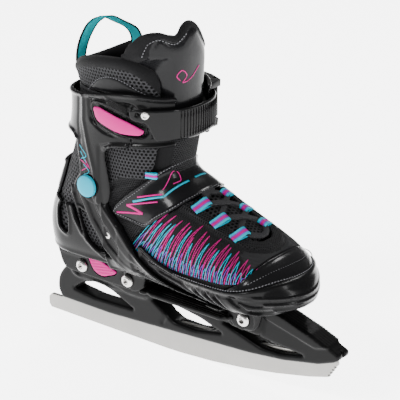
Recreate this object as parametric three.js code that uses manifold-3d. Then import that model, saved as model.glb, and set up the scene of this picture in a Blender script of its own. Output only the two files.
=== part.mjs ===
// Adjustable ice skate for the left foot: a soft padded boot in a two-part plastic shell, with a
// hinged cuff, on a plastic blade holder with a steel blade. Millimetres, +Z up, +X to the toe,
// +Y to the outer side of the foot. The shapes are set out from the blade's rear tip on the ice,
// and the finished group is moved so that its origin is the middle of the footbed.
import * as THREE from 'three';
import { mergeVertices } from 'three/addons/utils/BufferGeometryUtils.js';
import Module from 'manifold-3d';

const wasm = await Module();
wasm.setup();

// ---- driving dimensions ----
const GAP = 0.3;                 // between pieces that touch
const BLADE_LENGTH = 306;
const BLADE_THICK = 3.2;
const BLADE_FLAT_END = 120;      // where the running edge starts to rise
const BLADE_RADIUS = 630;        // of the rising part of the running edge
const BLADE_IN_HOLDER = 8;       // depth of steel inside the plastic
const HOLDER_HALF = 8;           // half thickness of the holder's truss
const TOWER_HALF = 10.5;         // half thickness of its towers
const LUG_THICK = 3.3;           // lugs of the shell beside the towers
const LUG_ROOM = 14.6;           // half width of the gap in the flange for the front lugs
const TOWER_TOP = 66;
const FLANGE_HALF = 22;
const BOLT_HEIGHT = 58.4;
const BOLT_X = [53, 104, 224.7];
const BOLT_RADIUS = 3;
const HEAD_RADIUS = 5;
const HEEL_X = 25;               // back of the boot form at the heel
const TOE_X = 281;               // front of the boot form
const SOLE_Z = 78;               // underside of the boot form
const FOOTBED_TOP = 84;
const FOOTBED_INSET = 3.4;
const SOFT_THICK = 5;            // padded fabric wall
const SHELL_IN = 0.4;            // shell's inner face, out from the fabric
const SHELL_OUT = 3.6;
const OUTER_IN = 4.2;            // arms and cuff, outside the shell
const OUTER_OUT = 7;
const PIVOT = [89, 149];         // cuff pivot, X and Z
const CUFF_FORWARD = 12;         // degrees that the cuff leans forward
const CUFF_BACK = 4;
const SIZE_TRAVEL = 20;          // travel of the front part for its sizes
const BUTTON_TRAVEL = 3;
const STRAP_LOW = 198;           // ankle strap's edges
const STRAP_HIGH = 224;
const SCREW_HOLE = 1.8;          // radius of the strap screw's hole
const SCREW_HOLE_DEPTH = 14;
const FOOT_X = 150;              // origin on the footbed
const FULL = 80;                 // half width that clears the whole skate
const FAR_X = 300;               // X that clears the toe

// ---- helpers ----
const rad = THREE.MathUtils.degToRad;

/** Smooth value at x through [x, value] pairs. */
function through(pairs, x) {
  const last = pairs.length - 1;
  if (x <= pairs[0][0]) return pairs[0][1];
  if (x >= pairs[last][0]) return pairs[last][1];
  const i = pairs.findIndex((pair) => pair[0] > x) - 1;
  const slope = (k) => {
    const a = pairs[Math.max(k - 1, 0)];
    const b = pairs[Math.min(k + 1, last)];
    return (b[1] - a[1]) / (b[0] - a[0]);
  };
  const span = pairs[i + 1][0] - pairs[i][0];
  const t = (x - pairs[i][0]) / span;
  const rise = t * t * (3 - 2 * t);
  const lead = (t ** 3 - 2 * t * t + t) * slope(i) + (t ** 3 - t * t) * slope(i + 1);
  return pairs[i][1] * (1 - rise) + pairs[i + 1][1] * rise + span * lead;
}

/** A solid from a closed geometry. */
function solid(geometry) {
  const bare = geometry.clone();
  bare.deleteAttribute('normal');
  bare.deleteAttribute('uv');
  const merged = mergeVertices(bare, 1e-4);
  const index = Uint32Array.from(merged.index.array);
  const vertices = Float32Array.from(merged.attributes.position.array);
  return new wasm.Manifold(new wasm.Mesh({ numProp: 3, vertProperties: vertices, triVerts: index }));
}

/** A three.js geometry from a solid. */
function geometryOf(body) {
  const mesh = body.getMesh();
  const geometry = new THREE.BufferGeometry();
  geometry.setAttribute('position', new THREE.BufferAttribute(new Float32Array(mesh.vertProperties), 3));
  geometry.setIndex(new THREE.BufferAttribute(new Uint32Array(mesh.triVerts), 1));
  geometry.computeVertexNormals();
  return geometry;
}

/** Closed loft through rings of points, with flat ends. */
function loft(rings) {
  const count = rings[0].length;
  const points = rings.flat(2);
  const faces = [];
  for (let r = 0; r + 1 < rings.length; r += 1) {
    for (let k = 0; k < count; k += 1) {
      const a = r * count + k;
      const b = r * count + ((k + 1) % count);
      faces.push(a, b, b + count, a, b + count, a + count);
    }
  }
  const end = (rings.length - 1) * count;
  for (let k = 1; k + 1 < count; k += 1) {
    faces.push(0, k + 1, k, end, end + k, end + k + 1);
  }
  const geometry = new THREE.BufferGeometry();
  geometry.setAttribute('position', new THREE.Float32BufferAttribute(points, 3));
  geometry.setIndex(faces);
  return solid(geometry);
}

/** A flat outline in X and Z from points; a point with a third value is rounded to that radius. */
function outline(points, holes = []) {
  const shape = new THREE.Shape();
  const count = points.length;
  for (let i = 0; i < count; i += 1) {
    const here = new THREE.Vector2(points[i][0], points[i][1]);
    const before = points[(i + count - 1) % count];
    const after = points[(i + 1) % count];
    const radius = points[i][2] || 0;
    const toBefore = new THREE.Vector2(before[0], before[1]).sub(here);
    const toAfter = new THREE.Vector2(after[0], after[1]).sub(here);
    const cut = Math.min(radius, toBefore.length() * 0.49, toAfter.length() * 0.49);
    const start = here.clone().add(toBefore.setLength(cut));
    const end = here.clone().add(toAfter.setLength(cut));
    if (i === 0) shape.moveTo(start.x, start.y);
    else shape.lineTo(start.x, start.y);
    if (cut > 0) shape.quadraticCurveTo(here.x, here.y, end.x, end.y);
  }
  shape.closePath();
  holes.forEach((hole) => shape.holes.push(hole));
  return shape;
}

/** A round hole outline. */
function ring(x, z, radius) {
  const points = [];
  for (let k = 0; k < 12; k += 1) {
    const angle = (-k / 12) * Math.PI * 2;
    points.push(new THREE.Vector2(x + radius * Math.cos(angle), z + radius * Math.sin(angle)));
  }
  return new THREE.Path(points);
}

/** An X-Z outline pushed through from y = low to y = high. */
function slab(shape, low, high, curveSegments = 3) {
  const geometry = new THREE.ExtrudeGeometry(shape, { depth: high - low, bevelEnabled: false,
    curveSegments });
  geometry.rotateX(Math.PI / 2);
  geometry.translate(0, high, 0);
  return solid(geometry);
}

/** An upright block between two corners. */
function box(x0, x1, y0, y1, z0, z1) {
  const geometry = new THREE.BoxGeometry(x1 - x0, y1 - y0, z1 - z0);
  geometry.translate((x0 + x1) / 2, (y0 + y1) / 2, (z0 + z1) / 2);
  return solid(geometry);
}

/** A turned piece whose axis runs along Y; its profile is [radius, y] points. */
function turned(profile, x, z, segments = 12) {
  const points = profile.map(([radius, y]) => new THREE.Vector2(radius, y));
  const geometry = new THREE.LatheGeometry(points, segments);
  geometry.translate(x, 0, z);
  return solid(geometry);
}

/** One solid from several. */
function union(solids) {
  return solids.reduce((all, next) => all.add(next));
}

// ---- boot form: a foot lofted along X and a shaft lofted along Z ----
const FOOT_HALF_WIDTH = [[25, 28], [50, 31.5], [90, 34], [130, 36.5], [175, 42], [220, 45.5], [248, 44],
  [281, 36]];
const FOOT_CENTRE = [[25, 0], [120, 2], [200, 1], [246, -3], [281, -9]];
const FOOT_TOP = [[25, 118], [90, 150], [125, 166], [150, 163], [184, 147], [204, 138], [224, 130],
  [243, 122], [258, 115.5], [271, 110], [281, 105]];
const FOOT_BOTTOM = [[25, 78], [228, 78], [258, 81], [281, 87]];
const SHAFT_BACK = [[84, 29], [100, 26], [120, 29], [145, 38], [175, 49], [205, 56], [235, 57], [262, 56]];
const SHAFT_FRONT = [[84, 110], [120, 128], [145, 148], [175, 155], [205, 160], [235, 160], [262, 161]];
const SHAFT_HALF_WIDTH = [[84, 29], [100, 32], [145, 36.5], [175, 37], [205, 38], [235, 40], [262, 42]];
const RING_POINTS = 22;

/** Quarter-ellipse rounding of an end: 0 at the tip, 1 at and beyond the round's length. */
function endRound(t) {
  const clamped = Math.min(Math.max(t, 0), 1);
  return Math.sqrt(1 - (1 - clamped) ** 2);
}

const UPPER_POWER = 2.3;         // roundness of the foot's section above and below its widest level
const LOWER_POWER = 3.4;
const SHAFT_POWER = 2.35;

/** Sizes of the foot's cross-section at x, grown outward. */
function footSizes(x, grow) {
  const heel = endRound((x - HEEL_X + grow) / (26 + grow));
  const toe = endRound((TOE_X + grow - x) / (44 + grow));
  const top = through(FOOT_TOP, x) + grow;
  const bottom = through(FOOT_BOTTOM, x) - grow;
  const middle = bottom + (top - bottom) * 0.4;
  const squash = toe ** 0.45 * heel ** 0.3;
  const half = (through(FOOT_HALF_WIDTH, x) + grow) * heel * toe;
  const up = (top - middle) * squash;
  const down = (middle - bottom) * squash;
  return { half, centre: through(FOOT_CENTRE, x), middle, up, down };
}

/** Cosine and sine of an angle bent towards a squarer curve. */
function bent(angle, power) {
  const bend = (value) => Math.sign(value) * Math.abs(value) ** (2 / power);
  return [bend(Math.cos(angle)), bend(Math.sin(angle))];
}

/** One cross-section of the foot, grown outward. */
function footRing(x, grow) {
  const { half, centre, middle, up, down } = footSizes(x, grow);
  const points = [];
  for (let k = 0; k < RING_POINTS; k += 1) {
    const angle = (k / RING_POINTS) * Math.PI * 2;
    const upper = Math.sin(angle) > 0;
    const [across, rise] = bent(angle, upper ? UPPER_POWER : LOWER_POWER);
    points.push([x, centre + half * across, middle + (upper ? up : down) * rise]);
  }
  return points;
}

/** The whole foot, grown outward. */
function footForm(grow) {
  const back = HEEL_X - grow;
  const front = TOE_X + grow;
  const stations = [back + 0.4, back + 4, back + 12, 45, 80, 115, 145, 170, 195, 220, 240, 256,
    front - 18, front - 9, front - 3.5, front - 0.4];
  return loft(stations.map((x) => footRing(x, grow)));
}

/** One level cross-section of the shaft, grown outward. */
function shaftRing(z, grow) {
  const back = through(SHAFT_BACK, z) - grow;
  const front = through(SHAFT_FRONT, z) + grow;
  const half = through(SHAFT_HALF_WIDTH, z) + grow;
  const points = [];
  for (let k = 0; k < RING_POINTS; k += 1) {
    const [along, across] = bent((k / RING_POINTS) * Math.PI * 2, SHAFT_POWER);
    points.push([(back + front) / 2 + ((front - back) / 2) * along, half * across, z]);
  }
  return points;
}

/** The whole shaft, grown outward. */
function shaftForm(grow) {
  const levels = [84, 100, 120, 145, 175, 205, 235, 262, 290];
  return loft(levels.map((z) => shaftRing(z, grow)));
}

const formStore = new Map();

/** Foot and shaft together, grown outward; each size is worked out once. */
function form(grow) {
  if (!formStore.has(grow)) formStore.set(grow, footForm(grow).add(shaftForm(grow)));
  return formStore.get(grow);
}

/** The wall between two growths of the boot form, kept inside an X-Z outline. */
function wall(inner, outer, region) {
  return form(outer).subtract(form(inner)).intersect(region);
}

/** The form's side, as y, at a place seen from the side. */
function sideReach(x, z, grow, side) {
  const reach = (part, power) => (part < 1 ? (1 - part ** power) ** (1 / power) : 0);
  const back = through(SHAFT_BACK, z) - grow;
  const front = through(SHAFT_FRONT, z) + grow;
  const along = Math.abs((2 * x - back - front) / (front - back));
  const shaftReach = (through(SHAFT_HALF_WIDTH, z) + grow) * reach(along, SHAFT_POWER);
  const { half, centre, middle, up, down } = footSizes(x, grow);
  const rise = z > middle ? (z - middle) / up : (middle - z) / down;
  const footReach = half * reach(rise, z > middle ? UPPER_POWER : LOWER_POWER) + centre * side;
  return Math.max(shaftReach, footReach) * side;
}

/** Outward direction of the shaft's side, level. */
function sideNormal(x, z, side) {
  const ahead = sideReach(x + 1, z, 0, side) - sideReach(x - 1, z, 0, side);
  return new THREE.Vector3(-ahead * side, 2, 0).normalize().multiply(new THREE.Vector3(1, side, 1));
}

/** A turned piece placed at a point with its axis along a direction. */
function turnedAt(profile, origin, direction, segments = 14) {
  const geometry = new THREE.LatheGeometry(profile.map(([radius, y]) => new THREE.Vector2(radius, y)),
    segments);
  geometry.applyQuaternion(new THREE.Quaternion().setFromUnitVectors(new THREE.Vector3(0, 1, 0), direction));
  geometry.translate(...origin);
  return solid(geometry);
}

/** Profile of a plain rod for the turned pieces. */
function rod(radius, low, high) {
  return [[0, low], [radius, low], [radius, high], [0, high]];
}

// ---- colours ----
const paint = (color, roughness, metalness = 0) =>
  new THREE.MeshStandardMaterial({ color, roughness, metalness });
const BLACK_PLASTIC = paint(0x232326, 0.38);
const BLACK_HOLDER = paint(0x2b2b2d, 0.5);
const STEEL = paint(0xb8b5ae, 0.3, 1);
const SCREW = paint(0xd8d8d8, 0.2, 1);
const FABRIC = paint(0x1b1b1e, 0.9);
const MESH_FABRIC = paint(0x202024, 0.85);
const LEATHER = paint(0x19191b, 0.35);
const PINK = paint(0xff55af, 0.35);
const CYAN = paint(0x00c8f0, 0.3);
const RIBBON = paint(0x5ad7e1, 0.8);
const LACE = paint(0x151517, 0.7);

const group = new THREE.Group();

/** Adds a named piece to the skate. */
function piece(name, shape, material) {
  const geometry = shape.isBufferGeometry ? shape : geometryOf(shape);
  const mesh = new THREE.Mesh(geometry, material);
  mesh.name = name;
  group.add(mesh);
  return mesh;
}

// ---- blade ----
/** Height of the running edge above the ice. */
function edgeHeight(x) {
  return x > BLADE_FLAT_END ? (x - BLADE_FLAT_END) ** 2 / (2 * BLADE_RADIUS) : 0;
}

/** Underside of the holder, where the steel comes out of it. */
function holderLow(x) {
  return through([[22, 17], [76, 17], [127, 20], [176, 23], [225, 26], [259, 30], [292, 37], [306, 43]], x);
}

const ANCHOR_X = [40, 112, 200, 270];
const ANCHOR_RADIUS = 2.4;
const ANCHOR_DEPTH = 4.4;         // anchor holes' height above the holder's underside
const TOOTH_COUNT = 5;

/** The blade's outline; grown, it is the slot that the holder needs for it. */
function bladeOutline(grow = 0) {
  const points = [[2.5, -grow]];
  for (let x = BLADE_FLAT_END; x < 296; x += 16) points.push([x, edgeHeight(x) - grow]);
  const toothFoot = new THREE.Vector2(296, edgeHeight(296));
  const toothHead = new THREE.Vector2(305, 39);
  for (let i = 0; i < TOOTH_COUNT; i += 1) {
    const root = toothFoot.clone().lerp(toothHead, (i + 0.15) / TOOTH_COUNT);
    const tip = toothFoot.clone().lerp(toothHead, (i + 0.75) / TOOTH_COUNT);
    points.push([root.x - 0.6, root.y], [tip.x + 1.4, tip.y - 0.6]);
  }
  points.push([BLADE_LENGTH + grow, 40], [BLADE_LENGTH - 4 + grow, 47 + grow]);
  for (let x = 290; x > 40; x -= 25) points.push([x, holderLow(x) + BLADE_IN_HOLDER + grow]);
  points.push([30, 24 + grow], [20 - grow, 22 + grow], [16 - grow, 13.5 + grow], [3, 13 + grow], [0, 10],
    [0, 3]);
  const holes = ANCHOR_X.map((x) => ring(x, holderLow(x) + ANCHOR_DEPTH, ANCHOR_RADIUS));
  return outline(points, grow > 0 ? [] : holes);
}
piece('blade', slab(bladeOutline(), -BLADE_THICK / 2, BLADE_THICK / 2), STEEL);

// ---- blade holder ----
const bladeSlot = slab(bladeOutline(GAP), -BLADE_THICK / 2 - GAP, BLADE_THICK / 2 + GAP);
const holderTop = [[311, 46, 4], [311, 50, 4], [285, 61], [258, 69.5, 3], [241, 72, 2], [238, TOWER_TOP],
  [208, TOWER_TOP, 3], [204, 60, 3], [126, 60, 3], [121, TOWER_TOP, 2], [36, TOWER_TOP, 4], [31, 54, 8],
  [18, 38, 8], [17, 24, 6]];
const holderBottom = [[22, 17], [76, 17], [127, 20], [176, 23], [225, 26], [259, 30], [292, 37], [306, 42.6]];
const rearWindow = outline([[36, 30, 2], [48, 39, 5], [64, 43, 6], [80, 39.5, 5], [104, 29, 1],
  [60, 27.5, 2]]);
const middleWindow = outline([[124, 45, 2], [142, 47, 4], [176, 42, 4], [198, 35, 1], [170, 29.5, 4],
  [148, 30, 4]]);
const frontWindow = outline([[198, 46, 2], [222, 45.5, 4], [248, 42, 4], [278, 40, 1], [256, 35, 3],
  [238, 34.5, 4]]);

const BUTTON_POCKET = 5.5;       // inner end of the button's pocket, from the mid-plane

/** Leaf-shaped button face, grown outward. */
function buttonOutline(grow) {
  return outline([[60 - grow, 69 + grow, 2], [68, 70.5 + grow, 6], [92 + grow, 63 + grow, 3],
    [90 + grow, 60 - grow, 3], [76, 54 - grow, 9], [66 - grow, 57 - grow, 8]]);
}

/** Truss, towers, nose deck and flange in one moulding. */
function bladeHolder() {
  const truss = slab(outline([...holderBottom, ...holderTop]), -HOLDER_HALF, HOLDER_HALF);
  const towers = [slab(outline([[34, 46, 6], [124, 46, 6], [121, TOWER_TOP], [36, TOWER_TOP, 4]]),
    -TOWER_HALF, TOWER_HALF),
  slab(outline([[206, 48, 6], [240, 48, 6], [238, TOWER_TOP], [208, TOWER_TOP]]), -TOWER_HALF, TOWER_HALF)];
  const deck = slab(outline([[241, 64, 3], [290, 52, 3], [300, 54.5], [285, 61], [258, 69.5, 3],
    [241, 72]]), -TOWER_HALF, TOWER_HALF);
  const lugRoom = box(208, 226, -LUG_ROOM, LUG_ROOM, 50, 60);
  const flange = box(124, 222, -FLANGE_HALF, FLANGE_HALF, 55, 58).subtract(lugRoom);
  const chamfer = slab(outline([[205, 50], [240, 50], [240, 70],
    [222, 70]]), HOLDER_HALF + 3, FLANGE_HALF + 1);
  let body = union([truss, ...towers, deck, flange]);
  body = body.subtract(chamfer).subtract(chamfer.mirror([0, 1, 0]));
  for (const window of [rearWindow, middleWindow, frontWindow]) {
    body = body.subtract(slab(window, -FULL, FULL));
  }
  BOLT_X.forEach((x) => {
    body = body.subtract(turned([[0, -FULL], [BOLT_RADIUS + GAP, -FULL], [BOLT_RADIUS + GAP, FULL],
      [0, FULL]],
      x, BOLT_HEIGHT, 12));
  });
  body = body.subtract(slab(buttonOutline(1), -FULL, -BUTTON_POCKET));
  const pegs = ANCHOR_X.map((x) => turned([[0, -5], [ANCHOR_RADIUS - GAP, -5], [ANCHOR_RADIUS - GAP, 5],
    [0, 5]],
    x, holderLow(x) + ANCHOR_DEPTH, 12));
  return body.subtract(bladeSlot).add(union(pegs));
}
piece('blade_holder', bladeHolder(), BLACK_HOLDER);

// ---- bolts and sleeve nuts ----
const LUG_FACE = TOWER_HALF + GAP + LUG_THICK;
const BOLT_NAMES = ['rear', 'middle', 'front'];
BOLT_X.forEach((x, i) => {
  const bolt = turned([[0, -LUG_FACE - 1.2], [2.4, -LUG_FACE - 1.2], [2.4, -LUG_FACE - 3.4],
    [3.6, -LUG_FACE - 3.4],
    [HEAD_RADIUS, -LUG_FACE - 2], [HEAD_RADIUS, -LUG_FACE - GAP], [2, -LUG_FACE - GAP], [2, LUG_FACE - 4],
    [0, LUG_FACE - 4]], x, BOLT_HEIGHT);
  piece(`${BOLT_NAMES[i]}_frame_bolt`, bolt, SCREW);
  const nut = turned([[2.3, LUG_FACE - 11], [BOLT_RADIUS, LUG_FACE - 11], [BOLT_RADIUS, LUG_FACE + GAP],
    [HEAD_RADIUS, LUG_FACE + GAP], [HEAD_RADIUS, LUG_FACE + 2], [3.6, LUG_FACE + 3.2], [0, LUG_FACE + 3.2],
    [0, LUG_FACE], [2.3, LUG_FACE - 2], [2.3, LUG_FACE - 11]], x, BOLT_HEIGHT);
  piece(`${BOLT_NAMES[i]}_sleeve_nut`, nut, SCREW);
});

// ---- rear shell: heel cup, arms and base in one moulding ----
const LUG_INNER = TOWER_HALF + GAP;
const BASE_TOP = 75.5;
const BASE_LOW = TOWER_TOP + 0.4;
const ARM_START = 116;           // where the arms step out over the front shell

const RAIL_HALF = 6;
const RAIL_LOW = 74.2;
const PIN_RADIUS = 4;
const ARM_RIVET = [104, 108];

/** Heel cup with its windows, the side arms, the base and the lugs. */
function rearShell() {
  const heelRegion = slab(outline([[6, 74], [6, 118, 8], [20, 140, 8], [30, 156, 6], [52, 158, 8],
    [66, 138, 10], [70, 148, 6], [80, 161, 8], [97, 160, 8], [102, 146, 6], [105, 128, 4],
    [ARM_START + 14, 102], [ARM_START + 14, 74]]), -FULL, FULL);
  const armRegion = slab(outline([[ARM_START, 119], [124, 109, 6], [140, 95, 10], [160, 84, 10],
    [190, 78, 8], [222, 76, 3], [222, 71, 3], [180, 70, 10], [ARM_START, 74]]), -FULL, FULL);
  const step = slab(outline([[ARM_START, 74], [ARM_START, 119], [ARM_START + 14, 103], [ARM_START + 14, 74]]),
    -FULL, FULL);
  let body = wall(SHELL_IN, SHELL_OUT, heelRegion);
  body = body.add(wall(SHELL_IN, OUTER_OUT, step)).add(wall(OUTER_IN, OUTER_OUT, armRegion));
  body = body.subtract(box(ARM_START + 12, 300, -30, 30, 60, 90));
  const window = slab(outline([[73, 125, 2], [80, 99, 3], [90, 91, 3], [108, 87, 2], [97, 100, 4],
    [83, 121, 2]]), -FULL, FULL);
  const backHole = slab(outline([[44, 150, 3], [30, 132, 3], [48, 130, 4], [60, 140, 4]]), -15, 15);
  const slot = box(10, 40, -14, -6, 86, 114);
  const spineSides = slab(outline([[6, 124], [66, 124], [66, 170], [6, 170]]), 23, FULL);
  body = body.subtract(window).subtract(backHole);
  body = body.subtract(slot).subtract(slot.mirror([0, 1, 0]));
  body = body.subtract(spineSides).subtract(spineSides.mirror([0, 1, 0]));
  const floor = slab(outline([[27, BASE_LOW], [238, BASE_LOW], [238, 73.4], [ARM_START + 12, 73.4],
    [ARM_START + 12, BASE_TOP], [24, BASE_TOP]]), -LUG_FACE, LUG_FACE);
  const heelLug = outline([[24, BASE_TOP], [27, 60, 6], [32, 51, 6], [44, 50, 6], [112, 49, 8], [122, 60, 6],
    [122, BASE_TOP]]);
  const frontLug = outline([[208, BASE_LOW], [212, 50, 5], [236, 50, 5], [240, BASE_LOW]]);
  const holes = BOLT_X.map((x) => turned([[0, -FULL], [BOLT_RADIUS + GAP, -FULL], [BOLT_RADIUS + GAP, FULL],
    [0, FULL]], x, BOLT_HEIGHT, 12));
  const lugs = [heelLug, frontLug].map((shape) => slab(shape, LUG_INNER, LUG_FACE));
  const heelBlock = form(SHELL_OUT).intersect(box(0, ARM_START + 12, -FULL, FULL, 60, 79));
  const heelSkin = heelBlock.subtract(form(SHELL_IN));
  body = union([body, heelSkin, floor, ...lugs, ...lugs.map((lug) => lug.mirror([0, 1, 0]))]);
  body = body.subtract(form(SHELL_IN).intersect(box(0, 300, -FULL, FULL, 70, 200)));
  const railChannel = box(78, 140, -RAIL_HALF - 0.5, RAIL_HALF + 0.5, RAIL_LOW - 0.4, 78.4);
  const pivotHole = turned(rod(PIN_RADIUS + GAP, -FULL, FULL), ...PIVOT);
  const rivetHoles = turned(rod(1.7, -FULL, FULL), ...ARM_RIVET, 10).subtract(form(-1));
  body = body.subtract(slab(buttonOutline(0.5), -FULL, -BUTTON_POCKET));
  return body.subtract(union([...holes, railChannel, pivotHole, rivetHoles]));
}
piece('rear_shell', rearShell(), BLACK_PLASTIC);

// ---- front shell: the cup round the toes ----
/** Toe cup with the notched rail that slides in the rear shell. */
function frontShell() {
  const region = slab(outline([[140, 68], [140, 107], [156, 99, 8], [186, 93.5, 10], [232, 97, 12],
    [262, 103, 10],
    [296, 112], [300, 60]]), -FULL, FULL);
  const rail = box(84, 146, -RAIL_HALF, RAIL_HALF, RAIL_LOW, 77.4);
  const notches = [];
  for (let x = 90; x < 126; x += 5) notches.push(box(x, x + 2.5, -RAIL_HALF - 1, -RAIL_HALF + 1.6, 70, 80));
  return wall(SHELL_IN, SHELL_OUT, region).add(rail.subtract(union(notches)));
}
piece('front_shell', frontShell(), BLACK_PLASTIC);

// ---- size button and its spring ----
/** The button's leaf-shaped face and its stem. */
function sizeButton() {
  const face = slab(buttonOutline(0), -LUG_FACE - 1.4, -LUG_FACE + 1.8);
  const stem = turned(rod(2.4, -LUG_FACE + 1, -LUG_FACE + 3), 77, 62, 10);
  return face.add(stem);
}
piece('size_button', sizeButton(), PINK);
const springTop = -LUG_FACE + 3 + BUTTON_TRAVEL + GAP;
const coil = [];
for (let i = 0; i <= 20; i += 1) {
  const angle = (i / 10) * Math.PI * 2;
  const y = springTop + 0.4 + (i / 20) * (-BUTTON_POCKET - GAP - 0.8 - springTop);
  coil.push(new THREE.Vector3(77 + 2.6 * Math.cos(angle), y, 62 + 2.6 * Math.sin(angle)));
}
const wire = new THREE.Shape().absarc(0, 0, 0.35, 0, Math.PI * 2);
piece('button_spring', new THREE.ExtrudeGeometry(wire, { steps: 24, bevelEnabled: false, curveSegments: 3,
  extrudePath: new THREE.CatmullRomCurve3(coil) }), SCREW);

// ---- soft boot: padded ankle, shaft, tongue and forefoot ----
const SPARE = 1.2;               // spare degrees at the cuff's split
const BACK_SPLIT = 160;          // lower edge of the leaning part behind the pivot
const LOW_RAY = 16;              // degrees above level, top of the fixed part ahead of the pivot
const HIGH_RAY = LOW_RAY + CUFF_FORWARD + SPARE;
const rayHeight = (x, degrees) => PIVOT[1] + (x - PIVOT[0]) * Math.tan(rad(degrees));
const STRAP_FRONT = [[128, 110], [146, 126], [204, 173]];   // the ankle fabric's front edge
const TONGUE_HALF = 24;
const COLLAR_LOW = 228;
const THROAT_FRONT = 238;

const belowSplit = slab(outline([[0, 60], [FAR_X, 60], [FAR_X, rayHeight(FAR_X, LOW_RAY)],
  [PIVOT[0], PIVOT[1] - 1],
  [0, rayHeight(0, CUFF_BACK + SPARE) - 1]]), -FULL, FULL);
const aboveSplit = slab(outline([[0, BACK_SPLIT], [66, BACK_SPLIT], [PIVOT[0], PIVOT[1] + 1],
  [FAR_X, rayHeight(FAR_X, HIGH_RAY) + 1], [FAR_X, 400], [0, 400]]), -FULL, FULL);
const rearRegion = slab(outline([[0, FOOTBED_TOP + 0.5], [128, FOOTBED_TOP + 0.5], ...STRAP_FRONT, [204, 240],
  [0, 240]]), -FULL, FULL);
const frontRegion = slab(outline([[128.5, FOOTBED_TOP + 0.5], [FAR_X, 87], [FAR_X, 172], [204.5, 172],
  ...STRAP_FRONT.map(([x, z]) => [x + 0.5, z - 0.3]).reverse()]), -FULL, FULL);
const collarTop = outline([[30, 238], [52, 240, 10], [80, 256, 16], [112, 260, 16], [134, 260, 10],
  [147, 251, 8],
  [153, 238, 6], [156, 226], [160, 214], [185, 214], [185, 100], [0, 100], [0, 238]]);
const throatSides = box(120, FAR_X, -TONGUE_HALF - 0.5, TONGUE_HALF + 0.5, 120, 400);
const forefootThroat = slab(outline([[120, 110], [THROAT_FRONT - 12, 110], [THROAT_FRONT, 122, 6],
  [THROAT_FRONT, 200], [120, 200]]), -17, 17);
const toeLine = outline([[216, 60], [222, 92], [244, 108, 8], [262, 140], [330, 140], [330, 60]]);

/** The padded wall of the boot inside an outline. */
function softWall(region, inner = -SOFT_THICK, outer = 0) {
  return form(outer).subtract(form(inner)).intersect(region);
}

piece('footbed', form(-FOOTBED_INSET).intersect(box(0, FAR_X, -FULL, FULL, SOLE_Z + 0.8, FOOTBED_TOP)),
  FABRIC);
piece('ankle_fabric', softWall(rearRegion).intersect(belowSplit).subtract(throatSides), MESH_FABRIC);
const shaft = softWall(slab(collarTop, -FULL, FULL)).intersect(aboveSplit).subtract(throatSides);
piece('shaft_fabric', shaft.intersect(box(0, FAR_X, -FULL, FULL, 100, COLLAR_LOW)), MESH_FABRIC);
piece('collar_padding', shaft.intersect(box(0, FAR_X, -FULL, FULL, COLLAR_LOW + GAP, 300)), FABRIC);

const front = softWall(frontRegion).subtract(forefootThroat);
piece('toe_cap', front.intersect(slab(toeLine, -FULL, FULL).translate([0.4, 0, 0])), LEATHER);
piece('vamp', front.subtract(slab(toeLine, -FULL, FULL)), FABRIC);
const tongueStrip = box(120, THROAT_FRONT - 8, -16.5, 16.5, 108, 200);
piece('lower_tongue', softWall(frontRegion.intersect(tongueStrip), -SOFT_THICK, -1.4), MESH_FABRIC);
const middleStrip = box(121, 230, -TONGUE_HALF, TONGUE_HALF, 121, 240);
const middleTongue = softWall(rearRegion.intersect(middleStrip).intersect(belowSplit), -SOFT_THICK, -0.4);
piece('middle_tongue', middleTongue, MESH_FABRIC);
const tongueSide = outline([[122, 160], [190, 160], [190, 240, 8], [176, 286, 8], [140, 280, 10], [136, 232],
  [122, 200]]);
const upperTongue = softWall(slab(tongueSide, -TONGUE_HALF, TONGUE_HALF), -3, 3.8).intersect(aboveSplit);
piece('upper_tongue', upperTongue, LEATHER);

// ---- cuff, its pivots, ankle strap and buckle ----
const cuffOutline = outline([[79, 137, 8], [92, 132, 6], [106, 134, 6], [111, 146, 4], [110, 160],
  [106, 183, 4],
  [118, 190, 4], [132, 195, 4], [168, 195, 6], [185, 206, 6], [185, 226, 4], [172, 231], [140, 235, 6],
  [122, 234, 6],
  [84, 226], [40, 222], [40, 188], [72, 188, 6], [78, 165]]);
const STRAP_IN = 9.4;
const STRAP_OUT = 11.4;
const SCREW_AT = [143, 220];
const screwNormal = sideNormal(...SCREW_AT, -1);
const screwOrigin = [SCREW_AT[0], sideReach(...SCREW_AT, 0, -1), SCREW_AT[1]];

/** The cuff, open at the front, with its pivot and screw holes. */
function cuff() {
  let body = wall(OUTER_IN, OUTER_OUT, slab(cuffOutline, -FULL, FULL));
  body = body.subtract(box(150, FAR_X, -TONGUE_HALF + 3, TONGUE_HALF - 3, 120, 300));
  body = body.subtract(turned(rod(PIN_RADIUS + GAP, -FULL, FULL), ...PIVOT));
  return body.subtract(turnedAt(rod(SCREW_HOLE, 0, SCREW_HOLE_DEPTH), screwOrigin, screwNormal));
}
piece('cuff', cuff(), BLACK_PLASTIC);

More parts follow.
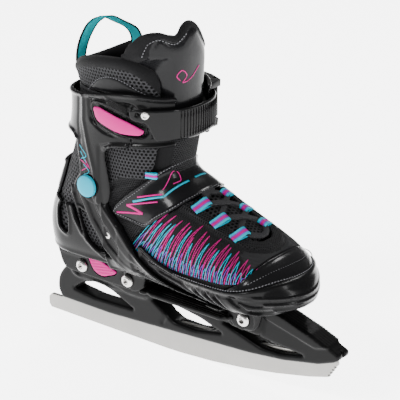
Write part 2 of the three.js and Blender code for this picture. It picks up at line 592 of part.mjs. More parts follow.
const pivotFace = sideReach(...PIVOT, OUTER_OUT, 1) + 0.7;
const pillarFace = sideReach(...PIVOT, SHELL_IN, 1) + 0.4;
for (const [name, side] of [['medial', -1], ['lateral', 1]]) {
  const rivet = [[0, pillarFace], [PIN_RADIUS, pillarFace], [PIN_RADIUS, pivotFace], [6.8, pivotFace],
    [6.8, pivotFace + 1.4], [0, pivotFace + 1.4]];
  const cap = [[7.2, pivotFace], [9.2, pivotFace], [9.2, pivotFace + 1.6], [7, pivotFace + 3.2],
    [0, pivotFace + 3.8],
    [0, pivotFace + 1.8], [7.2, pivotFace + 1.8], [7.2, pivotFace]];
  const armFace = Math.abs(sideReach(...ARM_RIVET, SHELL_OUT, side)) + 1.2;
  const stud = [[0, armFace - 3.4], [1.4, armFace - 3.4], [1.4, armFace], [3.2, armFace],
    [2.6, armFace + 1.2],
    [0, armFace + 1.6]];
  const flip = (shape) => (side > 0 ? shape : shape.mirror([0, 1, 0]));
  piece(`${name}_pivot_rivet`, flip(turned(rivet, ...PIVOT)), SCREW);
  piece(`${name}_pivot_cap`, flip(turned(cap, ...PIVOT)), CYAN);
  piece(`${name}_arm_rivet`, flip(turned(stud, ...ARM_RIVET, 10)), SCREW);
}

const inlay = outline([[97, 221, 3], [106, 221.5, 3], [150, 209, 4], [152, 204, 3], [128, 204, 12],
  [100, 213, 6]]);
piece('cuff_inlay', wall(OUTER_OUT + 0.4, OUTER_OUT + 2, slab(inlay, -FULL, 0)), PINK);

const strapEnd = box(92, 112, 0, FULL, STRAP_LOW, STRAP_HIGH);
const strapBand = box(110, FAR_X, -FULL, FULL, STRAP_LOW, STRAP_HIGH).add(strapEnd);
const strapStart = slab(outline([[100, 180], [158, 180], [154, 213], [136, 215], [136, 227],
  [100, 230]]), -FULL, 0);
/** The strap from the screw on the inner side, round the front, to the buckle. */
function ladderStrap() {
  const band = wall(STRAP_IN, STRAP_OUT, strapBand).subtract(strapStart);
  return band.subtract(turnedAt(rod(SCREW_HOLE, 0, SCREW_HOLE_DEPTH), screwOrigin, screwNormal));
}
piece('ladder_strap', ladderStrap(), LEATHER);
const strapScrew = [[0, OUTER_IN + 0.2], [1.5, OUTER_IN + 0.2], [1.5, STRAP_OUT + 0.4],
  [3.4, STRAP_OUT + 0.4],
  [3, STRAP_OUT + 1.6], [0, STRAP_OUT + 2]];
piece('strap_screw', turnedAt(strapScrew, screwOrigin, screwNormal), SCREW);

// The buckle follows the cuff on the outer side; its levers turn on upright pins.
const BUCKLE_X = [100, 152];
const LEVER_PIN_X = 149;
const TAB_PIN_X = 116;
const PIN = 1.5;
const pinPlace = (x, grow) => [x, sideReach(x, 210, grow, 1)];
const leverPin = pinPlace(LEVER_PIN_X, 15);
const tabPin = pinPlace(TAB_PIN_X, 14.8);

/** An upright round pin. */
function uprightRod(place, radius, low, high, segments = 12) {
  const geometry = new THREE.CylinderGeometry(radius, radius, high - low, segments);
  geometry.rotateX(Math.PI / 2);
  geometry.translate(place[0], place[1], (low + high) / 2);
  return solid(geometry);
}

/** The buckle's plate and its two cheeks, with the pin holes. */
function buckleBase() {
  const sideBox = (low, high) => box(BUCKLE_X[0], BUCKLE_X[1] + 4, 0, FULL, low, high);
  const plate = wall(OUTER_OUT + 0.4, STRAP_IN - 0.4, sideBox(STRAP_LOW - 6, STRAP_HIGH + 6));
  const lower = wall(OUTER_OUT + 0.4, 17, sideBox(STRAP_LOW - 6, STRAP_LOW - 0.5));
  const upper = wall(OUTER_OUT + 0.4, 17, sideBox(STRAP_HIGH + 0.5, STRAP_HIGH + 6));
  const holes = [leverPin, tabPin].map((place) => uprightRod(place, PIN + GAP, 150, 260));
  return union([plate, lower, upper]).subtract(union(holes));
}
piece('buckle_base', buckleBase(), BLACK_PLASTIC);
const leverBox = box(TAB_PIN_X + 5, LEVER_PIN_X, 0, FULL, STRAP_LOW + 0.3, STRAP_HIGH - 0.3);
const lever = wall(12.6, 16.4, leverBox).add(uprightRod(leverPin, 2.9, STRAP_LOW + 0.3, STRAP_HIGH - 0.3));
piece('buckle_lever', lever.subtract(uprightRod(leverPin, PIN + GAP, 150, 260)), BLACK_PLASTIC);
const tabBox = box(BUCKLE_X[0] + 1, TAB_PIN_X, 0, FULL, STRAP_LOW + 4, STRAP_HIGH - 4);
const tab = wall(13, 15.6, tabBox).add(uprightRod(tabPin, 2.4, STRAP_LOW + 0.3, STRAP_HIGH - 0.3));
piece('release_tab', tab.subtract(uprightRod(tabPin, PIN + GAP, 150, 260)), BLACK_PLASTIC);
piece('lever_pin', uprightRod(leverPin, PIN, STRAP_LOW - 5, STRAP_HIGH + 5), SCREW);
piece('tab_pin', uprightRod(tabPin, PIN, STRAP_LOW - 5, STRAP_HIGH + 5), SCREW);

// ---- instep strap ----
const strapAcross = outline([[110, 132, 3], [114, 126, 3], [143, 124, 3], [202, 175], [188, 194]]);
piece('instep_strap', wall(0.5, 2.6, slab(strapAcross, -FULL, FULL)), LEATHER);

// ---- lace loops, lace and pull loop ----
/** A point over the top of the foot form, with the outward direction there. */
function instep(x, y, grow) {
  const at = (xx, yy) => {
    const { half, centre, middle, up } = footSizes(xx, grow);
    const part = Math.min(Math.abs((yy - centre) / half), 0.999);
    return new THREE.Vector3(xx, yy, middle + up * (1 - part ** UPPER_POWER) ** (1 / UPPER_POWER));
  };
  const here = at(x, y);
  const normal = at(x + 1, y).sub(here).cross(at(x, y + 1).sub(here)).normalize();
  return { here, normal };
}

const LOOP_X = [190, 210, 230];
const LOOP_NAMES = ['upper', 'middle', 'lower'];
const LOOP_ACROSS = 22;
LOOP_X.forEach((x, level) => {
  for (const [side, name] of [[-1, 'medial'], [1, 'lateral']]) {
    const { here, normal } = instep(x, LOOP_ACROSS * side, 1.4);
    const geometry = new THREE.BoxGeometry(8, 10, 1.4);
    geometry.applyQuaternion(new THREE.Quaternion().setFromUnitVectors(new THREE.Vector3(0, 0, 1), normal));
    geometry.translate(here.x, here.y, here.z);
    piece(`${LOOP_NAMES[level]}_${name}_lace_loop`, geometry, RIBBON);
  }
});

const LACE_RADIUS = 1.2;
const LACE_OUT = 12.5;           // how far the lace goes to each side
const LACE_LIFT = 3.6;
const LACE_CROSS = 1.5;          // raised or lowered by this where the lace crosses itself
/** The lace's way down one set of loops and up the other. */
function laceRoute() {
  const down = [[185, 4], [192, -LACE_OUT], [201, 0, 1], [210, LACE_OUT], [219.5, 0, -1], [229, -LACE_OUT]];
  const bottom = [[235, -6], [235, 6]];
  const up = down.map(([x, y, cross]) => [x, -y, cross ? -cross : 0]).reverse();
  up[5][1] = -6;
  return [...down, ...bottom, ...up].map(([x, y, cross = 0]) => instep(x, y,
    LACE_LIFT + LACE_CROSS * cross).here);
}
const lacePath = new THREE.CatmullRomCurve3(laceRoute());
const laceSection = new THREE.Shape(Array.from({ length: 8 }, (_, k) => new THREE.Vector2(
  LACE_RADIUS * Math.cos(k * Math.PI / 4), LACE_RADIUS * Math.sin(k * Math.PI / 4))));
const laceCord = new THREE.ExtrudeGeometry(laceSection, { steps: 44, bevelEnabled: false,
  extrudePath: lacePath });
piece('lace', laceCord, LACE);

const PULL_WIDTH = 10;
const PULL_THICK = 1.2;
const PULL_PATH = [[55, -8, 231], [54, -9.5, 240], [54.5, -8.5, 250], [56.5, -5, 261], [60, 1, 271],
  [66, 9, 275],
  [72, 18, 270], [78, 26, 264], [81, 29, 256], [81, 28, 248], [81, 27, 240]];
/** The ribbon loop at the back, turning as it comes round. */
function pullLoop() {
  const path = new THREE.CatmullRomCurve3(PULL_PATH.map((p) => new THREE.Vector3(...p)));
  const rings = [];
  const steps = 26;
  for (let i = 0; i <= steps; i += 1) {
    const t = i / steps;
    const here = path.getPoint(t);
    const turn = rad(90 - 78 * t);
    const across = new THREE.Vector3(Math.cos(turn), Math.sin(turn), 0);
    const out = across.clone().cross(path.getTangent(t)).normalize();
    const corner = (w, n) => here.clone().addScaledVector(across, w * PULL_WIDTH / 2)
      .addScaledVector(out, n * PULL_THICK / 2).toArray();
    rings.push([corner(-1, -1), corner(-1, 1), corner(1, 1), corner(1, -1)]);
  }
  return loft(rings);
}
piece('pull_loop', pullLoop(), RIBBON);

// The origin is the middle of the footbed's top.
const skate = new THREE.Group();
group.position.set(-FOOT_X, 0, -FOOTBED_TOP);
skate.add(group);
export default skate;
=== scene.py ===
import math

import bmesh
import bpy
import numpy as np
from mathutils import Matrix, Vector


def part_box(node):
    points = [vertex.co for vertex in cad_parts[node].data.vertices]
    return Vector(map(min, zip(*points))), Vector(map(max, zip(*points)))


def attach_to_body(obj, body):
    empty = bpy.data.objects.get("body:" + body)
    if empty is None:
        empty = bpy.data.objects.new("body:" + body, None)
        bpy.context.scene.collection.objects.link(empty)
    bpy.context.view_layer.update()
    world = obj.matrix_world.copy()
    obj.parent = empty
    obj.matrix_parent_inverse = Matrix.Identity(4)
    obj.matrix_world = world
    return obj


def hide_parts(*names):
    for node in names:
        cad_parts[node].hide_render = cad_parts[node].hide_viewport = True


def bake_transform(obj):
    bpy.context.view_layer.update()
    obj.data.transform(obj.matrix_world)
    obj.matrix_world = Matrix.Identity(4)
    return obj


bl_info = {
    "name": "Adjustable Ice Skate",
    "version": (1, 0, 0),
    "blender": (4, 5, 0),
    "location": "View3D > Sidebar > Skate",
    "description": "Dresses the packed ice skate: shells, blade, soft boot, straps, lace and their finishes",
    "category": "Object",
}

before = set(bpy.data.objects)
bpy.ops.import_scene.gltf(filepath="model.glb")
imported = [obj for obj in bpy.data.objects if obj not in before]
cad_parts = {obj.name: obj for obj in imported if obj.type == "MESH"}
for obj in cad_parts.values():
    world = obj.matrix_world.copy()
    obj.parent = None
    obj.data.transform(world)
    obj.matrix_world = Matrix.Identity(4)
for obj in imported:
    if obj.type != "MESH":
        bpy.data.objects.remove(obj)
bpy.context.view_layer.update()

# All outlines below are in millimetres in the maker's frame: X from the blade's rear tip to the
# toe, Y to the outer side of the foot, Z up from the ice. The row frame's origin is on the footbed.
BLADE_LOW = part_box("blade")[0]
ORIGIN = np.array([-BLADE_LOW.x, 0.0, -BLADE_LOW.z]) * 1000


def box_of(node):
    """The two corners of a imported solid's box, in the maker's frame."""
    return [np.array(corner) * 1000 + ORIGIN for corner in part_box(node)]


def middle_of(node):
    """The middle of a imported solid's box, in the maker's frame."""
    return sum((np.array(v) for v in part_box(node)), np.zeros(3)) * 500 + ORIGIN


BOLTS = [middle_of(place + "_frame_bolt") for place in ("rear", "middle", "front")]
PIVOT = middle_of("medial_pivot_cap")

# Grid steps of the cast pieces: padded pieces, and hard pieces from large to small.
STEP = 1.15
SHELL_STEP = 1.0
CUFF_STEP = 0.9
STRAP_STEP = 0.8
INLAY_STEP = 0.8
BUTTON_STEP = 0.6

FAR = 80.0              # beyond every piece's side
SKIN = 0.4              # room between the boot form and the shells
CUFF_INSIDE = 4.2       # the cuff's inner face, outside the arms
STRAP_INSIDE, STRAP_OUTSIDE = 9.4, 11.3
PADDING = -5.0          # the inner face of the padded pieces
LUG = (10.8, 14.1)      # the lugs' inner and outer face, to each side
TOWER = 10.5            # half the width of the holder's towers
BOLT_HOLE, HEAD_RECESS, PIVOT_HOLE, SCREW_HOLE = 3.3, 5.9, 4.3, 1.8
EASED_SHARP, TURNED_SHARP = math.radians(38), math.radians(35)


# ---- the boot form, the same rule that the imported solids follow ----
HEEL_X, TOE_X = 25.0, 281.0
FOOT_HALF_WIDTH = [(25, 28), (50, 31.5), (90, 34), (130, 36.5), (175, 42), (220, 45.5), (248, 44),
                   (281, 36)]
FOOT_CENTRE = [(25, 0), (120, 2), (200, 1), (246, -3), (281, -9)]
FOOT_TOP = [(25, 118), (90, 150), (125, 166), (150, 163), (184, 147), (204, 138), (224, 130), (243, 122),
            (258, 115.5), (271, 110), (281, 105)]
FOOT_BOTTOM = [(25, 78), (228, 78), (258, 81), (281, 87)]
SHAFT_BACK = [(84, 29), (100, 26), (120, 29), (145, 38), (175, 49), (205, 56), (235, 57), (262, 56)]
SHAFT_FRONT = [(84, 110), (120, 128), (145, 148), (175, 155), (205, 160), (235, 160), (262, 161)]
SHAFT_HALF_WIDTH = [(84, 29), (100, 32), (145, 36.5), (175, 37), (205, 38), (235, 40), (262, 42)]


def through(pairs, x):
    """Smooth values at x through (x, value) pairs."""
    xs, ys = np.array(pairs, float).T
    x = np.clip(x, xs[0], xs[-1])
    ahead = np.append(xs[1:], xs[-1])
    behind = np.insert(xs[:-1], 0, xs[0])
    slopes = (np.append(ys[1:], ys[-1]) - np.insert(ys[:-1], 0, ys[0])) / (ahead - behind)
    i = np.clip(np.searchsorted(xs, x, side="right") - 1, 0, len(xs) - 2)
    span = xs[i + 1] - xs[i]
    t = (x - xs[i]) / span
    rise = t * t * (3 - 2 * t)
    lead = (t**3 - 2 * t * t + t) * slopes[i] + (t**3 - t * t) * slopes[i + 1]
    return ys[i] * (1 - rise) + ys[i + 1] * rise + span * lead


def end_round(t):
    """Rounds the heel or toe in: 0 at the tip, 1 where the full width starts."""
    return np.sqrt(1 - (1 - np.clip(t, 0, 1)) ** 2)


FOOT_POWER, SOLE_POWER, SHAFT_POWER = 2.3, 3.4, 2.35


def outside_foot(x, y, z, grow):
    """Where places are outside the foot part of the form, grown by grow."""
    heel = end_round((x - HEEL_X + grow) / (26 + grow))
    toe = end_round((TOE_X + grow - x) / (44 + grow))
    half = (through(FOOT_HALF_WIDTH, x) + grow) * heel * toe + 1e-6
    top = through(FOOT_TOP, x) + grow
    bottom = through(FOOT_BOTTOM, x) - grow
    middle = bottom + (top - bottom) * 0.4
    squash = toe**0.45 * heel**0.3 + 1e-6
    across = np.abs(y - through(FOOT_CENTRE, x)) / half
    upper = across**FOOT_POWER + (np.maximum(z - middle, 0) / ((top - middle) * squash)) ** FOOT_POWER
    lower = across**SOLE_POWER + (np.maximum(middle - z, 0) / ((middle - bottom) * squash)) ** SOLE_POWER
    return np.where(z > middle, upper, lower) > 1


def outside_shaft(x, y, z, grow):
    """Where places are outside the shaft part of the form, grown by grow."""
    back = through(SHAFT_BACK, z) - grow
    front = through(SHAFT_FRONT, z) + grow
    half = through(SHAFT_HALF_WIDTH, z) + grow
    along = np.abs((2 * x - back - front) / (front - back))
    return (along**SHAFT_POWER + (np.abs(y) / half) ** SHAFT_POWER > 1) | (z < 84 - grow)


def soft_min(a, b, k):
    """Joins two solids with a fillet about k wide."""
    h = np.clip(k - np.abs(a - b), 0, None) / k
    return np.minimum(a, b) - h * h * k / 4


def soft_max(a, b, k):
    """Cuts one solid by another with an edge rounded about k wide."""
    return -soft_min(-a, -b, k)


class BootForm:
    """How far outside the boot form every place is, held on a coarse grid and read smoothly between."""

    low = np.array([-4.0, -78.0, 58.0])
    step = 2.6
    shape = (122, 61, 92)

    def __init__(self):
        axes = [self.low[i] + self.step * np.arange(self.shape[i]) for i in range(3)]
        x, y, z = np.meshgrid(*axes, indexing="ij")
        parts = [self.solve(rule, x, y, z) for rule in (outside_foot, outside_shaft)]
        self.values = soft_min(parts[0], parts[1], 9.0)
        self.slopes = np.stack(np.gradient(self.values, self.step), -1)

    @staticmethod
    def solve(outside, x, y, z):
        """How much a part of the form has to grow to reach each place."""
        low = np.full(x.shape, -13.0)
        high = np.full(x.shape, 27.0)
        for _ in range(12):
            middle = (low + high) / 2
            out = outside(x, y, z, middle)
            low = np.where(out, middle, low)
            high = np.where(out, high, middle)
        return (low + high) / 2

    def read(self, grid, points):
        """Values of a grid at any points, blended between the eight corners."""
        at = (points - self.low) / self.step
        at = np.clip(at, 0, np.array(self.shape) - 1.001)
        i = at.astype(int)
        f = at - i
        total = 0
        for dx in (0, 1):
            for dy in (0, 1):
                for dz in (0, 1):
                    weight = abs(1 - dx - f[..., 0]) * abs(1 - dy - f[..., 1]) * abs(1 - dz - f[..., 2])
                    value = grid[i[..., 0] + dx, i[..., 1] + dy, i[..., 2] + dz]
                    total = total + (value.T * weight.T).T
        return total

    def out(self, points):
        """Millimetres outside the form, negative inside."""
        return self.read(self.values, points)

    def normal(self, points):
        """The outward direction at each point."""
        slope = self.read(self.slopes, points)
        return slope / np.maximum(np.linalg.norm(slope, axis=-1, keepdims=True), 1e-6)

    def settle(self, points, grow, rounds=8):
        """Moves points straight out or in until they are grow millimetres off the form."""
        points = np.array(points, float)
        for _ in range(rounds):
            gap = np.asarray(grow) - self.out(points)
            points = points + self.normal(points) * np.clip(gap, -6, 6)[..., None] * 0.9
        return points


FORM = BootForm()


# ---- solids from distances ----
class Block:
    """A box of space with a distance value at every grid point; below zero is solid."""

    def __init__(self, low, high, step=None):
        self.step = step or STEP
        self.low = np.array(low, float)
        counts = np.ceil((np.array(high, float) - self.low) / self.step).astype(int) + 1
        axes = [self.low[i] + self.step * np.arange(counts[i]) for i in range(3)]
        self.x, self.y, self.z = np.meshgrid(*axes, indexing="ij", sparse=True)
        self.points = np.stack(np.meshgrid(*axes, indexing="ij"), -1)

    def form(self):
        """Millimetres off the boot form at every grid point."""
        return FORM.out(self.points)

    def side(self, points):
        """Distance to a side-view outline, the same at every Y."""
        return polygon_distance(points, self.x, self.z)

    def plan(self, points):
        """Distance to an outline seen from above."""
        return polygon_distance(points, self.x, self.y)

    def box(self, low, high, corner=1.0):
        """Distance to a box with rounded edges."""
        low, high = np.array(low, float), np.array(high, float)
        middle, half = (low + high) / 2, (high - low) / 2 - corner
        gaps = [np.abs(a - m) - h for a, m, h in zip((self.x, self.y, self.z), middle, half)]
        outer = np.sqrt(sum(np.maximum(g, 0) ** 2 for g in gaps))
        return outer + np.minimum(np.maximum(np.maximum(gaps[0], gaps[1]), gaps[2]), 0) - corner

    def cross_rod(self, x, z, radius):
        """A rod along Y."""
        return np.sqrt((self.x - x) ** 2 + (self.z - z) ** 2) - radius + self.y * 0


def rounded(points):
    """Outline points with a third value, the corner's radius, turned into smooth corners."""
    result = []
    count = len(points)
    for i, point in enumerate(points):
        here = np.array(point[:2], float)
        radius = point[2] if len(point) > 2 else 0
        to_before = np.array(points[i - 1][:2], float) - here
        to_after = np.array(points[(i + 1) % count][:2], float) - here
        long_before, long_after = np.linalg.norm(to_before), np.linalg.norm(to_after)
        cut = min(radius, long_before * 0.49, long_after * 0.49)
        if cut == 0:
            result.append(here)
            continue
        start, end = here + to_before / long_before * cut, here + to_after / long_after * cut
        for t in np.linspace(0, 1, 6):
            result.append(start * (1 - t) ** 2 + here * 2 * t * (1 - t) + end * t * t)
    return np.array(result)


def polygon_distance(points, u, v):
    """Signed distance to a closed outline, negative inside."""
    corners = rounded(points)
    u, v = np.broadcast_arrays(np.asarray(u, float), np.asarray(v, float))
    near = np.full(u.shape, 1e9)
    inside = np.zeros(u.shape, bool)
    for a, b in zip(corners, np.roll(corners, -1, axis=0)):
        edge = b - a
        length = max(edge @ edge, 1e-9)
        t = np.clip(((u - a[0]) * edge[0] + (v - a[1]) * edge[1]) / length, 0, 1)
        near = np.minimum(near, (u - a[0] - t * edge[0]) ** 2 + (v - a[1] - t * edge[1]) ** 2)
        crossing = (a[1] > v) != (b[1] > v)
        if a[1] != b[1]:
            inside ^= crossing & (u < (b[0] - a[0]) * (v - a[1]) / (b[1] - a[1]) + a[0])
    return np.sqrt(near) * np.where(inside, -1, 1)


def path_distance(points, u, v):
    """Distance to an open line of points."""
    near = 1e9
    for a, b in zip(np.array(points[:-1], float), np.array(points[1:], float)):
        edge = b - a
        t = np.clip(((u - a[0]) * edge[0] + (v - a[1]) * edge[1]) / (edge @ edge), 0, 1)
        near = np.minimum(near, np.sqrt((u - a[0] - t * edge[0]) ** 2 + (v - a[1] - t * edge[1]) ** 2))
    return near


def bump(distance, width):
    """1 on a line and 0 beyond its width, smooth between."""
    return np.exp(-((distance / width) ** 2))


def step_in(distance, width):
    """1 well inside an outline, 0 outside."""
    t = np.clip(0.5 - distance / width, 0, 1)
    return t * t * (3 - 2 * t)


CUBE = [(0, 0, 0), (1, 0, 0), (0, 1, 0), (1, 1, 0), (0, 0, 1), (1, 0, 1), (0, 1, 1), (1, 1, 1)]
CUBE_EDGES = [(a, b) for a in range(8) for b in range(a + 1, 8)
              if sum(abs(i - j) for i, j in zip(CUBE[a], CUBE[b])) == 1]


def surface_net(values, low, step):
    """Quads on the zero surface of a distance grid."""
    values = values.copy()
    for axis in range(3):       # closes a solid that reaches the block's side
        edge = [slice(None)] * 3
        for end in (0, -1):
            edge[axis] = end
            values[tuple(edge)] = np.maximum(values[tuple(edge)], 0.01)
    solid = values < 0
    size = np.array(values.shape) - 1
    corner = [solid[o[0]:o[0] + size[0], o[1]:o[1] + size[1], o[2]:o[2] + size[2]] for o in CUBE]
    mixed = np.any(corner, axis=0) & ~np.all(corner, axis=0)
    cells = np.argwhere(mixed)
    number = np.full(mixed.shape, -1)
    number[mixed] = np.arange(len(cells))
    total = np.zeros((len(cells), 3))
    hits = np.zeros(len(cells))
    for a, b in CUBE_EDGES:
        oa, ob = np.array(CUBE[a]), np.array(CUBE[b])
        fa, fb = values[tuple((cells + oa).T)], values[tuple((cells + ob).T)]
        cross = (fa < 0) != (fb < 0)
        t = np.where(cross, fa / np.where(cross, fa - fb, 1), 0)
        total += np.where(cross[:, None], oa + t[:, None] * (ob - oa), 0)
        hits += cross
    verts = low + (cells + total / hits[:, None]) * step
    quads = []
    for axis in range(3):
        u, v = (axis + 1) % 3, (axis + 2) % 3
        first = [slice(None)] * 3
        second = [slice(None)] * 3
        first[axis], second[axis] = slice(0, -1), slice(1, None)
        for side in (u, v):
            first[side] = second[side] = slice(1, -1)
        a, b = solid[tuple(first)], solid[tuple(second)]
        for one, other, turn in ((a, b, False), (b, a, True)):
            at = np.argwhere(one & ~other)
            at[:, u] += 1
            at[:, v] += 1
            ring = []
            for du, dv in ((-1, -1), (0, -1), (0, 0), (-1, 0)):
                cell = at.copy()
                cell[:, u] += du
                cell[:, v] += dv
                ring.append(number[tuple(cell.T)])
            quad = np.stack(ring[::-1] if turn else ring, -1)
            quads.append(quad)
    return verts, np.concatenate(quads)


def relax(verts, quads, rounds, amount=0.5):
    """Evens a net without shrinking it much."""
    pairs = np.concatenate([quads[:, [i, (i + 1) % 4]] for i in range(4)])
    count = np.bincount(pairs[:, 0], minlength=len(verts))[:, None]
    for turn in range(rounds * 2):
        total = np.stack([np.bincount(pairs[:, 0], verts[pairs[:, 1], k], minlength=len(verts))
                          for k in range(3)], -1)
        share = amount if turn % 2 == 0 else -amount * 1.04
        verts = verts + (total / count - verts) * share
    return verts


# ---- objects ----
def linked(name, data):
    """A new object of a mesh, light or camera, in the scene."""
    obj = bpy.data.objects.new(name, data)
    bpy.context.scene.collection.objects.link(obj)
    return obj


def evaluated_mesh(obj):
    """The object's mesh with its modifiers carried out."""
    bpy.context.view_layer.update()
    return bpy.data.meshes.new_from_object(obj.evaluated_get(bpy.context.evaluated_depsgraph_get()))


SHAFT_MIDDLE, SHAFT_RADIUS, FOOT_MIDDLE, FOOT_RADIUS = 105, 46, 84, 44


def make_object(name, verts, faces, material, smooth=True, wrap="foot"):
    """A mesh object from points in the maker's frame; its weave runs round the shaft or the foot."""
    mesh = bpy.data.meshes.new(name)
    co = (np.asarray(verts, float) - ORIGIN) / 1000
    faces = np.asarray(faces)
    mesh.vertices.add(len(co))
    mesh.vertices.foreach_set("co", co.ravel())
    size = faces.shape[1]
    mesh.loops.add(faces.size)
    mesh.loops.foreach_set("vertex_index", faces.ravel())
    mesh.polygons.add(len(faces))
    mesh.polygons.foreach_set("loop_start", np.arange(len(faces)) * size)
    mesh.polygons.foreach_set("use_smooth", np.full(len(faces), smooth))
    mesh.update(calc_edges=True)
    mesh.validate()
    mesh.materials.append(material)
    points = np.zeros(len(mesh.vertices) * 3)
    mesh.vertices.foreach_get("co", points)
    x, y, z = (points.reshape(-1, 3) * 1000 + ORIGIN).T
    if wrap == "shaft":
        across, rise = np.abs(np.arctan2(y, x - SHAFT_MIDDLE)) * SHAFT_RADIUS, z
    else:
        across, rise = x, np.abs(np.arctan2(y - through(FOOT_CENTRE, x), z - FOOT_MIDDLE)) * FOOT_RADIUS
    weave = np.stack([across, rise, np.zeros(len(x))], -1)
    mesh.attributes.new("weave", "FLOAT_VECTOR", "POINT").data.foreach_set("vector", weave.ravel())
    return linked(name, mesh)


def cast(name, block, values, material, rounds=1, wrap="foot"):
    """The object whose surface is the block's zero distance."""
    verts, quads = surface_net(values, block.low, block.step)
    return make_object(name, relax(verts, quads, rounds), quads, material, wrap=wrap)


def paint_faces(obj, material, rule):
    """Gives a second finish to the faces whose centres, in the maker's frame, the rule picks."""
    obj.data.materials.append(material)
    count = len(obj.data.polygons)
    centres = np.zeros(count * 3)
    obj.data.polygons.foreach_get("center", centres)
    x, y, z = (centres.reshape(-1, 3) * 1000 + ORIGIN).T
    index = np.zeros(count, np.int32)
    obj.data.polygons.foreach_get("material_index", index)
    index[rule(x, y, z)] = len(obj.data.materials) - 1
    obj.data.polygons.foreach_set("material_index", index)


def attach(obj, body, slot, *nodes):
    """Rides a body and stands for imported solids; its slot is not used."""
    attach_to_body(obj, body)
    if nodes:
        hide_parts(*nodes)
    return obj


def bend(obj, first, second, start, end, slot, *nodes):
    """A soft piece with its placement baked in, standing for imported solids; the two bodies and the two
    places are not used.
    """
    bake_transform(obj)
    if nodes:
        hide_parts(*nodes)
    return obj


def joined(parts):
    """One list of points and faces from several."""
    verts, faces, base = [], [], 0
    for points, quads in parts:
        verts.append(np.asarray(points, float))
        faces.append(np.asarray(quads) + base)
        base += len(points)
    return np.concatenate(verts), np.concatenate(faces)


def smooth_path(points, count, closed=False):
    """Even points on a smooth curve through points."""
    points = np.array(points, float)
    if closed:
        ring = np.concatenate([points[-1:], points, points[:2]])
    else:
        ring = np.concatenate([2 * points[:1] - points[1:2], points, 2 * points[-1:] - points[-2:-1]])
    dense = []
    for i in range(len(ring) - 3):
        a, b, c, d = ring[i:i + 4]
        t = np.linspace(0, 1, 24, endpoint=False)[:, None]
        dense.append(0.5 * (2 * b + (c - a) * t + (2 * a - 5 * b + 4 * c - d) * t**2
                            + (3 * b - a - 3 * c + d) * t**3))
    dense.append(ring[-2:-1])
    dense = np.concatenate(dense)
    run = np.insert(np.cumsum(np.linalg.norm(np.diff(dense[:, :3], axis=0), axis=1)), 0, 0)
    even = np.linspace(0, run[-1], count + 1 if closed else count)
    if closed:
        even = even[:-1]
    return np.stack([np.interp(even, run, dense[:, k]) for k in range(dense.shape[1])], -1)


def swept(path, across, outward, section, closed=False):
    """A section of (across, outward) points carried along a path."""
    section = np.array(section, float)
    count, size = len(path), len(section)
    verts = (path[:, None, :] + across[:, None, :] * section[None, :, :1]
             + outward[:, None, :] * section[None, :, 1:2]).reshape(-1, 3)
    faces = []
    for i in range(count if closed else count - 1):
        j = (i + 1) % count
        for k in range(size):
            n = (k + 1) % size
            faces.append((i * size + k, i * size + n, j * size + n, j * size + k))
    if not closed:      # the two ends
        for k in range(size // 2 - 1):
            faces.append((k, size - 1 - k, size - 2 - k, k + 1))
            base = (count - 1) * size
            faces.append((base + k, base + k + 1, base + size - 2 - k, base + size - 1 - k))
    return verts, np.array(faces)


def tangents(path, closed=False):
    """Directions along a path."""
    if closed:
        ahead = np.roll(path, -1, 0) - np.roll(path, 1, 0)
    else:
        ahead = np.gradient(path, axis=0)
    return ahead / np.linalg.norm(ahead, axis=1, keepdims=True)


def flat_oval(t):
    """Pushes a circle's coordinate out towards a flat oval."""
    return math.copysign(abs(t) ** 0.55, t)


def laid_strip(points, grow, width, thick, count, closed=False, sides=8):
    """A flat strip or flat-oval cord that lies on the boot form; a fourth value in a point lifts it."""
    route = smooth_path(points, count, closed)
    lift = route[:, 3] if route.shape[1] > 3 else 0
    path = FORM.settle(route[:, :3], grow + lift)
    along = tangents(path, closed)
    outward = FORM.normal(path)
    across = np.cross(outward, along)
    across /= np.linalg.norm(across, axis=1, keepdims=True)
    outward = np.cross(along, across)
    angles = (np.arange(sides) + 0.5) / sides * 2 * math.pi
    section = [(flat_oval(math.cos(a)) * width / 2, flat_oval(math.sin(a)) * thick / 2) for a in angles]
    return swept(path, across, outward, section, closed)


# ---- finishes ----
class Net:
    """Adds and links nodes in one tree."""

    def __init__(self, tree, prefix="ShaderNode"):
        self.tree = tree
        self.prefix = prefix

    def put(self, socket, source):
        """Links a socket to the input, or sets a plain value."""
        if isinstance(source, bpy.types.NodeSocket):
            self.tree.links.new(source, socket)
        elif source is not None:
            socket.default_value = source

    def add(self, kind, *sources, out=0, **settings):
        """A node with its inputs in order; gives one of its outputs."""
        node = self.tree.nodes.new(kind if "Node" in kind else self.prefix + kind)
        for key, value in settings.items():
            setattr(node, key, value)
        for socket, source in zip(node.inputs, sources):
            self.put(socket, source)
        return node.outputs[out]

    def math(self, operation, *sources, clamp=False):
        """One sum on values."""
        return self.add("ShaderNodeMath", *sources, operation=operation, use_clamp=clamp)

    def noise(self, vector, scale, detail=2.0, rough=0.5):
        """Soft random values over the piece."""
        node = self.tree.nodes.new("ShaderNodeTexNoise")
        for label, source in (("Vector", vector), ("Scale", scale), ("Detail", detail),
        ("Roughness", rough)):
            self.put(node.inputs[label], source)
        return node.outputs["Fac"]

    def group(self, tree, **sources):
        """An effect with its own values; underscores stand for spaces."""
        node = self.tree.nodes.new("ShaderNodeGroup")
        node.node_tree = tree
        for label, source in sources.items():
            self.put(node.inputs[label.replace("_", " ")], source)
        return node.outputs


    def blend(self, share, first, second):
        """A colour between two, by a share from 0 to 1."""
        mix = self.tree.nodes.new("ShaderNodeMix")
        mix.data_type = "RGBA"
        self.put(mix.inputs["Factor"], share)
        mix.inputs[6].default_value = (*first, 1)
        mix.inputs[7].default_value = (*second, 1)
        return mix.outputs[2]


